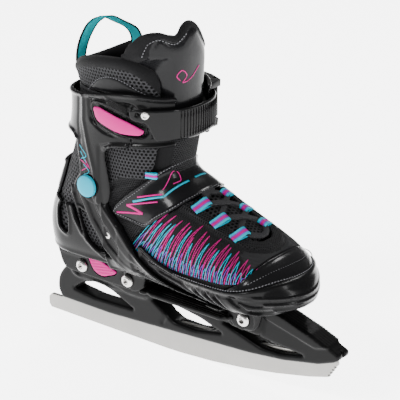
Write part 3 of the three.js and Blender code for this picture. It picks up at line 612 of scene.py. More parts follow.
def effect(name, inputs, outputs):
    """An empty shader node group and its two ends."""
    tree = bpy.data.node_groups.new(name, "ShaderNodeTree")
    for label, kind, value in inputs:
        socket = tree.interface.new_socket(label, in_out="INPUT", socket_type="NodeSocket" + kind)
        if value is not None:
            socket.default_value = value
    for label, kind in outputs:
        tree.interface.new_socket(label, in_out="OUTPUT", socket_type="NodeSocket" + kind)
    return tree, tree.nodes.new("NodeGroupInput").outputs, tree.nodes.new("NodeGroupOutput").inputs


def moulded_effect():
    """Fine spark grain, broad waviness and handling smudges of a moulded or coated surface."""
    tree, given, result = effect("Moulded Surface",
                                 [("Grain Size", "Float", 0.6), ("Grain Depth", "Float", 0.05),
                                  ("Waviness", "Float", 0.3), ("Smudge", "Float", 0.1)],
                                 [("Normal", "Vector"), ("Roughness Shift", "Float")])
    net = Net(tree)
    place = net.add("TexCoord", out=3)
    grain = net.noise(place, net.math("DIVIDE", 1000.0, given["Grain Size"]), 3.0, 0.6)
    wave = net.noise(place, 38.0, 1.0)
    height = net.math("ADD", net.math("MULTIPLY", grain, given["Grain Depth"]),
                      net.math("MULTIPLY", wave, given["Waviness"]))
    net.put(result["Normal"], bump_of(net, height, 0.4))
    smear = net.noise(place, 55.0, 4.0, 0.65)
    shift = net.math("MULTIPLY", net.math("SUBTRACT", smear, 0.5), given["Smudge"])
    net.put(result["Roughness Shift"], shift)
    return tree


def bump_of(net, height, strength, distance=0.001):
    """A normal raised by a height."""
    node = net.tree.nodes.new("ShaderNodeBump")
    net.put(node.inputs["Height"], height)
    node.inputs["Strength"].default_value = strength
    node.inputs["Distance"].default_value = distance
    return node.outputs["Normal"]


HEXAGON_HALF, HEXAGON_FULL = 0.5774, 1.1547      # 1 and 2 over the square root of 3


def weave_effect():
    """A knitted or woven cloth: a height, and a mask of the gaps between its threads; most finishes darken
    these gaps as painted shade.

    Hexagon gives open spacer mesh, and Twill gives slanting ribs.
    """
    tree, given, result = effect("Cloth", [("Pitch", "Float", 2.0), ("Hexagon", "Float", 0.0),
                                           ("Twill", "Float", 0.0)],
                                 [("Height", "Float"), ("Gap", "Float")])
    net = Net(tree)
    place = net.add("SeparateXYZ", net.add("Attribute", attribute_name="weave", out=1)).node.outputs
    turn = net.math("DIVIDE", 2 * math.pi, given["Pitch"])
    u = net.math("MULTIPLY", place["X"], turn)
    v = net.math("MULTIPLY", place["Y"], turn)
    half_v = net.math("MULTIPLY", v, HEXAGON_HALF)
    full_v = net.math("MULTIPLY", v, HEXAGON_FULL)
    waves = [net.math("COSINE", full_v), net.math("COSINE", net.math("ADD", u, half_v)),
             net.math("COSINE", net.math("SUBTRACT", u, half_v))]
    hexagon = net.math("ADD", net.math("ADD", waves[0], waves[1]), waves[2])
    open_gap = net.math("MULTIPLY_ADD", hexagon, 0.75, 0.42, clamp=True)
    sway = net.math("MULTIPLY", net.math("SINE", net.math("MULTIPLY", v, 0.5)), 1.6)
    rows = net.math("SINE", net.math("ADD", u, sway))
    twill = net.math("SINE", net.math("ADD", u, v))
    knit = net.math("MULTIPLY", rows, net.math("COSINE", v))
    plain = net.math("ADD", net.math("MULTIPLY", twill, given["Twill"]),
                     net.math("MULTIPLY", knit, net.math("SUBTRACT", 1.0, given["Twill"])))
    cloth_gap = net.math("MULTIPLY_ADD", plain, -0.5, 0.2, clamp=True)
    inverse = net.math("SUBTRACT", 1.0, given["Hexagon"])
    gap = net.math("ADD", net.math("MULTIPLY", open_gap, given["Hexagon"]),
                   net.math("MULTIPLY", cloth_gap, inverse))
    fuzz = net.noise(net.add("TexCoord", out=3), 1500.0, 2.0)
    net.put(result["Gap"], gap)
    thread = net.math("SUBTRACT", 1.0, gap)
    net.put(result["Height"], net.math("ADD", thread, net.math("MULTIPLY", fuzz, 0.5)))
    return tree


def leather_effect():
    """Fine creases of coated leatherette, with softly worn patches."""
    tree, given, result = effect("Leatherette", [("Crease Depth", "Float", 0.4)],
                                 [("Normal", "Vector"), ("Wear", "Float")])
    net = Net(tree)
    place = net.add("TexCoord", out=3)
    cells = net.tree.nodes.new("ShaderNodeTexVoronoi")
    cells.feature = "DISTANCE_TO_EDGE"
    net.put(cells.inputs["Vector"], place)
    cells.inputs["Scale"].default_value = 900.0
    crease = net.math("MINIMUM", cells.outputs["Distance"], 0.14)
    folds = net.noise(place, 70.0, 3.0)
    height = net.math("ADD", net.math("MULTIPLY", crease, given["Crease Depth"]),
                      net.math("MULTIPLY", folds, 0.8))
    net.put(result["Normal"], bump_of(net, height, 0.35))
    net.put(result["Wear"], net.math("MULTIPLY_ADD", net.noise(place, 45.0, 4.0, 0.6), 0.16, -0.08))
    return tree


def brushed_effect():
    """Lengthwise grinding lines with a few stray scratches."""
    tree, given, result = effect("Ground Steel", [("Line Strength", "Float", 0.25)],
                                 [("Normal", "Vector"), ("Roughness Shift", "Float"), ("Tint", "Float")])
    net = Net(tree)
    place = net.add("TexCoord", out=3)
    stretched = net.add("VectorMath", place, (6.0, 900.0, 1500.0), operation="MULTIPLY")
    lines = net.noise(stretched, 1.0, 3.0, 0.7)
    stains = net.noise(place, 26.0, 5.0, 0.6)
    net.put(result["Normal"], bump_of(net, net.math("MULTIPLY", lines, given["Line Strength"]), 0.25))
    net.put(result["Roughness Shift"], net.math("MULTIPLY_ADD", lines, 0.2, -0.1))
    net.put(result["Tint"], stains)
    return tree


METAL_SHINE, DULL_SHINE = 0.5, 0.06


def times(color, factor):
    """A colour made lighter or darker."""
    return tuple(part * factor for part in color)


def new_material(name, color, roughness, metallic=0.0, coat=0.0, sheen=0.0):
    """A finish with plain values, ready for its effects."""
    material = bpy.data.materials.new(name)
    material.use_nodes = True
    shader = material.node_tree.nodes["Principled BSDF"]
    shader.inputs["Base Color"].default_value = (*color, 1)
    shader.inputs["Roughness"].default_value = roughness
    shader.inputs["Metallic"].default_value = metallic
    shader.inputs["Coat Weight"].default_value = coat
    shader.inputs["Coat Roughness"].default_value = 0.12
    shader.inputs["Sheen Weight"].default_value = sheen
    shader.inputs["Specular IOR Level"].default_value = METAL_SHINE if metallic else DULL_SHINE
    shader.inputs["Sheen Roughness"].default_value = 0.4
    return material, Net(material.node_tree), shader.inputs


def moulded(name, color, roughness, coat=0.0, grain=0.05, size=0.6, waviness=0.3, metallic=0.0):
    """Moulded plastic, or plated metal."""
    material, net, shader = new_material(name, color, roughness, metallic, coat)
    surface = net.group(EFFECTS["moulded"], Grain_Size=size, Grain_Depth=grain, Waviness=waviness, Smudge=0.1)
    net.put(shader["Normal"], surface["Normal"])
    net.put(shader["Roughness"], net.math("ADD", roughness, surface["Roughness Shift"], clamp=True))
    return material


def cloth(name, color, gap_color, pitch, hexagon=0.0, twill=0.0, depth=0.9, sheen=0.03):
    """Knitted, woven or braided thread; a gap colour darker than the thread colour paints shade into the
    gaps.
    """
    material, net, shader = new_material(name, color, 0.85, sheen=sheen)
    weave = net.group(EFFECTS["cloth"], Pitch=pitch, Hexagon=hexagon, Twill=twill)
    # painted shade where gap_color is darker: the colour goes to gap_color in the low gaps between threads
    net.put(shader["Base Color"], net.blend(weave["Gap"], color, gap_color))
    net.put(shader["Normal"], bump_of(net, weave["Height"], depth, 0.0008))
    return material


def leatherette(name, color, roughness, coat, crease=0.4):
    """Coated cloth with fine creases."""
    material, net, shader = new_material(name, color, roughness, coat=coat)
    skin = net.group(EFFECTS["leather"], Crease_Depth=crease)
    net.put(shader["Normal"], skin["Normal"])
    net.put(shader["Roughness"], net.math("ADD", roughness, skin["Wear"], clamp=True))
    return material


def ground_steel(name, color, roughness):
    """Steel ground lengthwise."""
    material, net, shader = new_material(name, color, roughness, 1.0)
    lines = net.group(EFFECTS["steel"], Line_Strength=0.3)
    net.put(shader["Normal"], lines["Normal"])
    net.put(shader["Roughness"], net.math("ADD", roughness, lines["Roughness Shift"], clamp=True))
    net.put(shader["Base Color"], net.blend(lines["Tint"], times(color, 0.86), times(color, 1.1)))
    return material


def striped(name, stops, roughness, ribs):
    """Woven tape: colours change across its width, and fine ribs run over it."""
    material, net, shader = new_material(name, stops[0][1], roughness)
    place = net.add("SeparateXYZ", net.add("Attribute", attribute_name="tape", out=1)).node.outputs
    ramp = net.tree.nodes.new("ShaderNodeValToRGB")
    ramp.color_ramp.interpolation = "CONSTANT"
    for i, (position, color) in enumerate(stops):
        stop = ramp.color_ramp.elements[i] if i < 2 else ramp.color_ramp.elements.new(position)
        stop.position = position
        stop.color = (*color, 1)
    net.put(ramp.inputs[0], place["X"])
    net.put(shader["Base Color"], ramp.outputs[0])
    wave = net.math("SINE", net.math("MULTIPLY", place["Y"], 2 * math.pi / ribs))
    net.put(shader["Normal"], bump_of(net, wave, 0.6, 0.0003))
    return material


EFFECTS = {}
LOOKS = {}


def make_finishes(looks):
    """All the finishes, from the chosen colours."""
    EFFECTS.update(moulded=moulded_effect(), cloth=weave_effect(), leather=leather_effect(),
                   steel=brushed_effect())
    black, holder, cord = tuple(looks.plastic), tuple(looks.holder), tuple(looks.cord)
    pink, cyan, lilac, ribbon = (tuple(c) for c in (looks.pink, looks.cyan, looks.lilac, looks.ribbon))
    skin, fabric = tuple(looks.leatherette), tuple(looks.fabric)
    # painted shade: a near-black colour for the low gaps between threads and the holes of the mesh
    painted_gap_shade = times(fabric, 0.12)
    mesh_pitch = looks.mesh_pitch * 1000
    LOOKS.update(
        shell=moulded("shell_plastic", black, 0.24, coat=0.03, grain=0.04),
        holder=moulded("holder_plastic", holder, 0.3, grain=0.06, size=0.4),
        strap=moulded("strap_plastic", black, 0.17, coat=0.06, grain=0.02, waviness=0.6),
        pink=moulded("pink_plastic", pink, 0.3, coat=0.05, grain=0.03),
        cyan=moulded("cyan_plastic", times(cyan, 0.8), 0.3, grain=0.02),
        bolt=moulded("fastener_steel", (0.46, 0.45, 0.44), 0.26, grain=0.02, metallic=1.0),
        steel=ground_steel("blade_steel", tuple(looks.steel), 0.34),
        mesh=cloth("spacer_mesh", times(fabric, 4.2), painted_gap_shade, mesh_pitch, hexagon=1.0, depth=1.0),
        fine=cloth("fine_mesh", times(fabric, 2), painted_gap_shade, mesh_pitch * 0.6, hexagon=1.0),
        knit=cloth("knit_cloth", times(fabric, 1.6), painted_gap_shade, 1.7),
        twill=cloth("twill_cloth", times(fabric, 3.4), painted_gap_shade, 1.8, twill=1.0, depth=0.8),
        lining=cloth("brushed_lining", times(fabric, 0.9), fabric, 0.9, depth=0.25, sheen=0.06),
        skin=leatherette("black_leatherette", skin, 0.3, 0.04),
        gloss=leatherette("patent_leatherette", skin, 0.22, 0.08, crease=0.2),
        # painted shade: the stitch thread's gaps take the much darker fabric colour
        thread=cloth("stitch_thread", times(fabric, 20), fabric, 0.7, twill=1.0, depth=0.4),
        lace=cloth("lace_braid", cord, painted_gap_shade, 1.1, depth=1.0),
        # painted shade: the print threads' gaps are darkened to 0.3 of their colour
        **{name: cloth(name, times(color, 1.15), times(color, 0.3), 1.0, twill=1.0, depth=0.5)
           for name, color in (("pink_thread", pink), ("cyan_thread", cyan), ("lilac_thread", lilac))},
        webbing=striped("striped_webbing", [(0.0, cyan), (0.2, cyan), (0.24, lilac), (0.38, pink),
                                            (0.62, lilac), (0.76, cyan)], 0.6, 0.9),
        grosgrain=striped("grosgrain_ribbon", [(0.0, black), (0.13, ribbon), (0.87, black)], 0.62, 0.8),
    )


# ---- repeats ----
def repeat_tree():
    """Copies of a pattern object set along lines, upright on each point's outward direction."""
    tree = bpy.data.node_groups.new("Repeat Along Lines", "GeometryNodeTree")
    face = tree.interface
    face.new_socket("Lines", in_out="INPUT", socket_type="NodeSocketGeometry")
    for label, kind, value in (("Pattern", "Object", None), ("Spacing", "Float", 0.003),
                               ("Wobble", "Float", 0.04), ("Seed", "Int", 7), ("Finish", "Material", None)):
        socket = face.new_socket(label, in_out="INPUT", socket_type="NodeSocket" + kind)
        if value is not None:
            socket.default_value = value
    face.new_socket("Geometry", in_out="OUTPUT", socket_type="NodeSocketGeometry")
    given = tree.nodes.new("NodeGroupInput").outputs
    result = tree.nodes.new("NodeGroupOutput").inputs
    net = Net(tree, "GeometryNode")
    curve = net.add("MeshToCurve", given["Lines"])
    sample = tree.nodes.new("GeometryNodeResampleCurve")
    sample.mode = "LENGTH"
    net.put(sample.inputs["Curve"], curve)
    net.put(sample.inputs["Length"], given["Spacing"])
    outward = tree.nodes.new("GeometryNodeInputNamedAttribute")
    outward.data_type = "FLOAT_VECTOR"
    outward.inputs["Name"].default_value = "outward"
    spread = tree.nodes.new("FunctionNodeRandomValue")
    spread.data_type = "FLOAT_VECTOR"
    net.put(spread.inputs["Min"], (-1.0, -1.0, -1.0))
    net.put(spread.inputs["Seed"], given["Seed"])
    scaled = net.add("ShaderNodeVectorMath", spread.outputs[0], None, operation="SCALE")
    net.put(scaled.node.inputs["Scale"], given["Wobble"])
    heading = net.add("ShaderNodeVectorMath", net.add("InputTangent"), scaled, operation="ADD")
    along = tree.nodes.new("FunctionNodeAlignRotationToVector")
    along.axis = "X"
    net.put(along.inputs["Vector"], heading)
    upright = tree.nodes.new("FunctionNodeAlignRotationToVector")
    upright.axis = "Z"
    upright.pivot_axis = "X"
    net.put(upright.inputs["Rotation"], along.outputs[0])
    net.put(upright.inputs["Vector"], outward.outputs[0])
    info = tree.nodes.new("GeometryNodeObjectInfo")
    net.put(info.inputs["Object"], given["Pattern"])
    copies = tree.nodes.new("GeometryNodeInstanceOnPoints")
    net.put(copies.inputs["Points"], sample.outputs[0])
    net.put(copies.inputs["Instance"], info.outputs["Geometry"])
    net.put(copies.inputs["Rotation"], upright.outputs[0])
    made = net.add("RealizeInstances", copies.outputs[0])
    painted = tree.nodes.new("GeometryNodeSetMaterial")
    net.put(painted.inputs["Geometry"], made)
    net.put(painted.inputs["Material"], given["Finish"])
    net.put(result["Geometry"], painted.outputs[0])
    return tree


def pattern_bar(length, width, height, sides=8, rings=4):
    """A rounded bar on its own, lying along X with its underside sunk a little."""
    angles = np.arange(sides) / sides * 2 * math.pi
    section = [(math.cos(a) * width / 2, math.sin(a) * height) for a in angles]
    spots = np.linspace(-1, 1, rings + 1)
    path = np.stack([spots * length / 2, spots * 0, spots * 0], -1)
    across, outward = np.tile((0, 1.0, 0), (rings + 1, 1)), np.tile((0, 0, 1.0), (rings + 1, 1))
    verts, faces = swept(path, across, outward, section)
    thin = np.sqrt(np.clip(1.06 - spots**2, 0.05, 1)).repeat(sides)
    verts[:, 1:] *= thin[:, None]
    return verts, faces


def repeat(name, lines, pattern, spacing, finish, wobble=0.04):
    """A plain mesh of pattern copies along lines; a line is its points and their outward directions."""
    tree = bpy.data.node_groups.get("Repeat Along Lines") or repeat_tree()
    verts = np.concatenate([points for points, _ in lines])
    edges, base = [], 0
    for points, _ in lines:
        edges += [(base + i, base + i + 1) for i in range(len(points) - 1)]
        base += len(points)
    mesh = bpy.data.meshes.new(name + "_lines")
    mesh.from_pydata(((verts - ORIGIN) / 1000).tolist(), edges, [])
    attribute = mesh.attributes.new("outward", "FLOAT_VECTOR", "POINT")
    outward = np.concatenate([ways for _, ways in lines]).astype(np.float32)
    attribute.data.foreach_set("vector", outward.ravel())
    holder = linked(name + "_lines", mesh)
    shape = make_object(name + "_pattern", pattern[0] + ORIGIN, pattern[1], finish)
    modifier = holder.modifiers.new("repeat", "NODES")
    modifier.node_group = tree
    values = {"Pattern": shape, "Spacing": spacing / 1000, "Wobble": wobble, "Seed": 7, "Finish": finish}
    for item in tree.interface.items_tree:
        if item.item_type == "SOCKET" and item.in_out == "INPUT" and item.name in values:
            modifier[item.identifier] = values[item.name]
    made = evaluated_mesh(holder)
    holder.modifiers.clear()
    bpy.data.objects.remove(holder)
    bpy.data.objects.remove(shape)
    made.name = name
    made.polygons.foreach_set("use_smooth", np.ones(len(made.polygons), bool))
    return linked(name, made)


def on_form(points, grow, count=None):
    """A line of points laid on the boot form, with its outward directions."""
    length = np.sum(np.linalg.norm(np.diff(np.array(points, float), axis=0), axis=1))
    path = FORM.settle(smooth_path(points, count or max(int(length / 3), 4)), grow)
    return path, FORM.normal(path)


# ---- pieces ----
def layer(form, inner, outer, edge=0.8):
    """The wall between two distances off the boot form."""
    return soft_max(form - outer, inner - form, edge)


def crisp(name, node, finish, body, slot, edge=0.35):
    """A hard piece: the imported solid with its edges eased."""
    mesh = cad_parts[node].data.copy()
    mesh.materials.clear()
    mesh.materials.append(finish)
    obj = linked(name, mesh)
    weld = obj.modifiers.new("weld", "WELD")
    weld.merge_threshold = 0.00001
    flat = obj.modifiers.new("flat", "DECIMATE")
    flat.decimate_type = "DISSOLVE"
    flat.angle_limit = math.radians(1.5)
    bevel = obj.modifiers.new("bevel", "BEVEL")
    bevel.width = edge / 1000
    bevel.segments = 2
    bevel.limit_method = "ANGLE"
    bevel.angle_limit = math.radians(32)
    made = evaluated_mesh(obj)
    obj.modifiers.clear()
    obj.data = made
    made.set_sharp_from_angle(angle=EASED_SHARP)
    return attach(obj, body, slot, node)


def turned(profile, place, direction, segments=40, socket=None):
    """Points and faces turned from (radius, height) points.

    The points between the socket's two numbers follow a six-sided socket.
    """
    axis = np.array(direction, float)
    axis /= np.linalg.norm(axis)
    side = np.cross(axis, (0.0, 0.0, 1.0))
    side /= np.linalg.norm(side)
    other = np.cross(axis, side)
    angles = np.arange(segments) / segments * 2 * math.pi
    hexagon = math.cos(math.pi / 6) / np.cos((angles + math.pi / 6) % (math.pi / 3) - math.pi / 6)
    rings = []
    for i, (radius, height) in enumerate(profile):
        size = radius * (hexagon if socket and socket[0] <= i <= socket[1] else 1.0) * np.ones(segments)
        rings.append(np.array(place) + np.outer(size * np.cos(angles), side)
                     + np.outer(size * np.sin(angles), other) + axis * height)
    ends = [[np.array(place) + axis * profile[i][1]] for i in (0, -1)]
    verts = np.concatenate(rings + ends)
    faces = []
    for r in range(len(profile) - 1):
        for k in range(segments):
            n = (k + 1) % segments
            faces.append((r * segments + k, r * segments + n, (r + 1) * segments + n, (r + 1) * segments + k))
    last = (len(profile) - 1) * segments
    for k in range(segments):
        n = (k + 1) % segments
        faces.append((len(verts) - 2, n, k))
        faces.append((len(verts) - 1, last + k, last + n))
    return verts, faces


def turned_object(name, profile, place, direction, finish, segments=40, socket=None):
    """The turned solid as an object."""
    verts, faces = turned(profile, place, direction, segments, socket)
    mesh = bpy.data.meshes.new(name)
    mesh.from_pydata(((verts - ORIGIN) / 1000).tolist(), [], faces)
    mesh.materials.append(finish)
    mesh.polygons.foreach_set("use_smooth", np.ones(len(mesh.polygons), bool))
    mesh.update()
    mesh.set_sharp_from_angle(angle=TURNED_SHARP)
    return face_out(linked(name, mesh))


def face_out(obj):
    """Turns faces outward."""
    shape = bmesh.new()
    shape.from_mesh(obj.data)
    bmesh.ops.recalc_face_normals(shape, faces=shape.faces)
    shape.to_mesh(obj.data)
    shape.free()
    return obj


HOLDER_LINE = [(22, 17), (76, 17), (127, 20), (176, 23), (225, 26), (259, 30), (292, 37), (306, 42.6)]
HOLDER_TOP = [(311, 46, 4), (311, 50, 4), (285, 61), (258, 69.5, 3), (241, 72, 2), (238, 66), (208, 66, 3),
              (204, 60, 3), (126, 60, 3), (121, 66, 2), (36, 66, 4), (31, 54, 8), (18, 38, 8), (17, 24, 6)]
WINDOWS = [[(36, 30, 2), (48, 39, 5), (64, 43, 6), (80, 39.5, 5), (104, 29, 1), (60, 27.5, 2)],
           [(124, 45, 2), (142, 47, 4), (176, 42, 4), (198, 35, 1), (170, 29.5, 4), (148, 30, 4)],
           [(198, 46, 2), (222, 45.5, 4), (248, 42, 4), (278, 40, 1), (256, 35, 3), (238, 34.5, 4)]]
BUTTON = [(60, 69, 2), (68, 70.5, 6), (92, 63, 3), (90, 60, 3), (76, 54, 9), (66, 57, 8)]


def build_blade():
    """The steel blade with its toe picks."""
    crisp("steel_blade", "blade", LOOKS["steel"], "chassis", "steel_blade", 0.4)


def build_holder():
    """The blade holder: truss, towers, deck and flange."""
    b = Block((13, -24, 14), (314, 24, 76), SHELL_STEP)
    across = np.abs(b.y)
    truss = soft_max(b.side(HOLDER_LINE + HOLDER_TOP), across - 8, 2.2)
    towers = soft_max(b.side([(34, 44, 10), (124, 44, 10), (121, 66), (36, 66, 4)]), across - TOWER, 1.6)
    tower = soft_max(b.side([(206, 46, 8), (240, 46, 8), (238, 66), (208, 66)]), across - TOWER, 1.6)
    deck = soft_max(b.side([(241, 63, 3), (290, 51, 3), (301, 54.5), (285, 61), (258, 69.5, 3), (241, 72)]),
                    across - TOWER, 1.4)
    ribs = np.clip(np.cos(b.y / 3.0 * 2 * math.pi) - 0.2, 0, 1)
    deck = deck + 0.75 * ribs * (b.z > 54) * (across < 9.2)
    flange = soft_max(b.side([(122, 54.6), (224, 54.6), (224, 58.2), (122, 58.2)]), across - 22, 0.8)
    flange = soft_max(flange, -b.box((207, -14.6, 50), (227, 14.6, 60), 0.5), 0.5)
    cuts = [soft_max(b.plan([(222, 9 * side), (204, 23 * side), (230, 23 * side), (230, 9 * side)]),
                     8 - across, 0.4) for side in (1, -1)]
    flange = soft_max(flange, -np.minimum(*cuts), 0.6)
    grooves = np.clip(np.cos(b.y / 3.4 * 2 * math.pi) - 0.25, 0, 1)
    flange = flange + 0.8 * grooves * (b.z > 56.2) * (across < 20.5)
    body = soft_min(soft_min(truss, soft_min(towers, tower, 3.0), 3.5), soft_min(deck, flange, 1.0), 2.0)
    crescent = path_distance([(120, 62), (132, 55), (139, 45), (140, 34), (136, 27)], b.x, b.z)
    body = body + 0.9 * bump(crescent, 1.6) * (across > 4)
    hollow = soft_max(b.side([(40, 50, 6), (60, 49, 6), (92, 46, 6), (114, 36, 6), (116, 32, 4),
    (96, 42, 6),
                              (70, 47, 6), (46, 43, 5)]), 9.2 - across, 1.0)
    body = soft_max(body, -hollow, 1.6)
    for window in WINDOWS:
        body = soft_max(body, -b.side(window), 3.0)
    slot = np.maximum(across - 1.9, b.z - (through([p[:2] for p in HOLDER_LINE], b.x) + 8.3))
    body = np.maximum(body, -slot)
    for x, _, z in BOLTS:
        body = np.maximum(body, -b.cross_rod(x, z, BOLT_HOLE + 0.1))
    body = np.maximum(body, -np.maximum(b.side(BUTTON) - 1.0, b.y + 5.5))
    holder = cast("blade_holder_moulding", b, body, LOOKS["holder"])
    attach(holder, "chassis", "holder_plastic", "blade_holder")


HEEL = [(6, 68), (6, 118, 8), (20, 140, 8), (30, 156, 6), (52, 158, 8), (66, 138, 10), (70, 148, 6),
        (80, 161, 8), (97, 160, 8), (102, 146, 6), (105, 128, 4), (130, 102), (130, 68)]
ARM = [(100, 138), (106, 130, 4), (124, 109, 6), (140, 95, 10), (160, 84, 10), (190, 78, 8), (222, 76, 3),
       (222, 71, 3), (180, 70, 10), (100, 74)]
SIDE_WINDOWS = [[(73, 125, 2), (80, 99, 3), (90, 91, 3), (109, 87, 2), (97, 101, 4), (84, 121, 2)],
                [(62, 136, 1), (68, 116, 3), (77, 102, 1), (74, 117, 3), (67, 134, 1)],
                [(46, 119, 4), (49, 101, 4), (59, 97, 4), (60, 112, 4), (54, 127, 4)]]
BACK_HOLE = [(44, 150, 3), (30, 132, 3), (48, 130, 4), (60, 140, 4)]
STRUT = [(86, 142), (95, 122), (108, 103), (124, 90)]


def build_rear_shell():
    """The heel cup with its side openings, arms, base and lugs."""
    b = Block((0, -62, 46), (243, 62, 166), SHELL_STEP)
    form = b.form()
    across = np.abs(b.y)
    window = np.minimum.reduce([b.side(outline) for outline in SIDE_WINDOWS])
    hole = np.maximum(b.side(BACK_HOLE), across - 15)
    slot = np.maximum(np.hypot((b.z - 100) / 14, (across - 10) / 4.2) * 4.2 - 4.2, b.x - 42)
    heel_region = b.side(HEEL)
    cut = soft_min(soft_min(window, hole, 0.5), slot, 0.5)
    rim = bump(np.minimum(np.abs(heel_region), np.abs(cut)) - 1.6, 1.7)
    spine = bump(np.clip(across - 4, 0, None), 3.5) * (b.x < 60)
    outer = 3.4 + 1.1 * rim + 0.7 * spine
    body = soft_max(layer(form, SKIN, outer), heel_region, 1.6)
    step = b.side([(116, 74), (116, 119), (130, 103), (130, 74)])
    body = soft_min(body, soft_max(layer(form, SKIN, 7.0), step, 1.2), 1.5)
    arm_region = b.side(ARM)
    channel = path_distance(STRUT + [(146, 80), (180, 75), (216, 73.5)], b.x, b.z)
    low_edge = path_distance([(76, 134), (80, 124), (88, 110), (107, 90), (122, 78)], b.x, b.z)
    arm_out = 6.6 - 1.4 * step_in(channel - 3.6, 2.5) * (b.x < 208) + 0.8 * bump(arm_region + 1.6, 1.5)
    arm_out = arm_out + 1.0 * bump(low_edge, 2.0)
    arm_in = np.where(b.x > 118, 4.2, SKIN)
    arm = soft_max(layer(form, arm_in, arm_out), arm_region, 1.6)
    body = soft_min(body, arm, 2.0)
    strut = path_distance(STRUT, b.x, b.z)
    band_out = 6.6 - 1.4 * step_in(channel - 3.6, 2.5) + 1.0 * bump(low_edge, 2.0)
    ribbed = soft_max(layer(form, SKIN, band_out), strut - 9.5, 1.5)
    thin = path_distance([(66, 142), (73, 118), (82, 98), (96, 84)], b.x, b.z)
    ribbed = soft_min(ribbed, soft_max(layer(form, SKIN, 5.2), thin - 1.6, 1.2), 1.0)
    body = soft_min(body, ribbed, 1.5)
    body = soft_max(body, -cut, 1.6)
    body = np.maximum(body, -np.maximum(b.side([(6, 124), (66, 124), (66, 170), (6, 170)]), 23 - across))
    base = soft_max(b.side([(27, 66.4), (238, 66.4), (238, 73.4), (128, 73.4), (128, 75.5), (24, 75.5)]),
                    across - LUG[1], 1.0)
    lugs = soft_max(b.side([(24, 78), (27, 60, 6), (32, 51, 6), (44, 50, 6), (100, 50, 6), (112, 49, 10),
                            (124, 58, 8), (122, 78)]), layer(across, *LUG), 1.2)
    front_lug = soft_max(b.side([(206, 70), (211, 51, 8), (225, 47, 10), (238, 52, 8), (243, 70)]),
                         layer(across, *LUG), 1.2)
    groove = np.abs(np.hypot(b.x - BOLTS[2][0], b.z - BOLTS[2][2]) - 9.5)
    front_lug = front_lug + 0.6 * bump(groove, 0.9) * (b.x > BOLTS[2][0])
    seam = path_distance([(106, 50), (97, 58), (100, 66), (112, 74)], b.x, b.z)
    lugs = lugs + 0.6 * bump(seam, 0.9)
    heel_block = soft_max(layer(form, SKIN, 3.6), b.box((0, -62, 60), (128, 62, 80), 1), 1.5)
    body = soft_min(soft_min(soft_min(body, heel_block, 2.5), base, 2.0), soft_min(lugs, front_lug, 0.5), 2.5)
    body = np.maximum(body, np.where(b.z > 70, SKIN - form, -9))
    body = np.maximum(body, -b.box((78, -6.5, 73.8), (140, 6.5, 78.4), 0.2))
    for x, _, z in BOLTS:
        body = np.maximum(body, -b.cross_rod(x, z, BOLT_HOLE))
        body = np.maximum(body, -np.maximum(b.cross_rod(x, z, HEAD_RECESS), 13.4 - across))
    body = np.maximum(body, -b.cross_rod(PIVOT[0], PIVOT[2], PIVOT_HOLE))
    body = np.maximum(body, -np.maximum(b.side(BUTTON) - 0.6, b.y + 5.5))
    attach(cast("heel_shell", b, body, LOOKS["shell"]), "chassis", "shell_plastic", "rear_shell")


def build_front_shell():
    """The toe cup with its grooves, ridges and size rail."""
    b = Block((82, -60, 66), (292, 60, 122), SHELL_STEP)
    form = b.form()
    region = b.side([(136, 66), (136, 108, 3), (156, 99.5, 8), (186, 95, 10), (232, 98, 12), (258, 104, 10),
                     (274, 109, 6), (300, 109), (300, 60), (136, 60)])
    outer = 3.5 + 0.8 * bump(np.abs(region) - 1.6, 1.4) * (b.z > 84)
    toe = np.clip((b.x - 244) / 14, 0, 1)
    ridges = np.clip(np.cos((b.z - 82) / 5.2 * 2 * math.pi), 0, 1) * ((b.z > 78) & (b.z < 102))
    outer = outer + 1.3 * toe * ridges
    slashes = np.minimum.reduce([path_distance(line, b.x, b.z) for line in (
        [(200, 88), (214, 77)], [(211, 89), (225, 78)], [(221, 90), (235, 79)])])
    chevron = path_distance([(160, 92), (184, 89), (204, 76)], b.x, b.z)
    boomerang = np.minimum(path_distance([(238, 93), (252, 85), (268, 87)], b.x, b.z),
                           path_distance([(238, 93), (262, 92)], b.x, b.z))
    outer = outer - 2.2 * bump(slashes, 1.9) - 1.8 * bump(chevron, 1.6) - 2.0 * bump(boomerang, 1.7)
    outer = outer + 0.6 * bump(slashes - 2.8, 1.4)
    belt = path_distance([(150, 95), (186, 90.5), (232, 93), (262, 99)], b.x, b.z)
    outer = outer - 0.9 * bump(belt, 1.3)
    body = soft_max(layer(form, SKIN, outer), region, 1.6)
    rail = b.box((84, -6, 74.2), (146, 6, 77.4), 0.4)
    teeth = np.maximum(np.maximum(np.abs((b.x - 90) % 5 - 1.25) - 1.25, b.y + 4.4), np.abs(b.x - 108) - 19)
    body = np.minimum(body, np.maximum(rail, -teeth))
    attach(cast("toe_shell", b, body, LOOKS["shell"]), "toe_part", "shell_plastic", "front_shell")


CUFF = [(79, 137, 8), (92, 132, 6), (106, 134, 6), (111, 146, 4), (110, 160), (106, 181, 4), (116, 187, 4),
        (134, 189.5, 4), (168, 192, 6), (185, 206, 6), (185, 226, 4), (172, 231), (140, 235, 6),
        (122, 234, 6), (84, 227), (40, 222), (40, 188), (72, 188, 6), (78, 165)]
INLAY = [(99, 219, 3), (105, 220.5, 3), (136, 211.5, 6), (146.5, 206, 3), (143, 201.5, 4), (124, 200.5, 10),
         (102, 208, 5)]
PAN = [(92, 225, 3), (136, 227, 5), (152, 214, 6), (157, 204, 4), (142, 196, 8), (106, 197, 8),
       (92, 206, 4)]
CHAMFER = [(100, 186, 3), (112, 190), (116, 160), (112, 134), (101, 134), (100, 160)]
RIB_PIECE = [(112, 230, 2), (134, 224, 2), (130, 218, 2), (112, 223, 2)]
SCREW_SPOT = (143, 220)


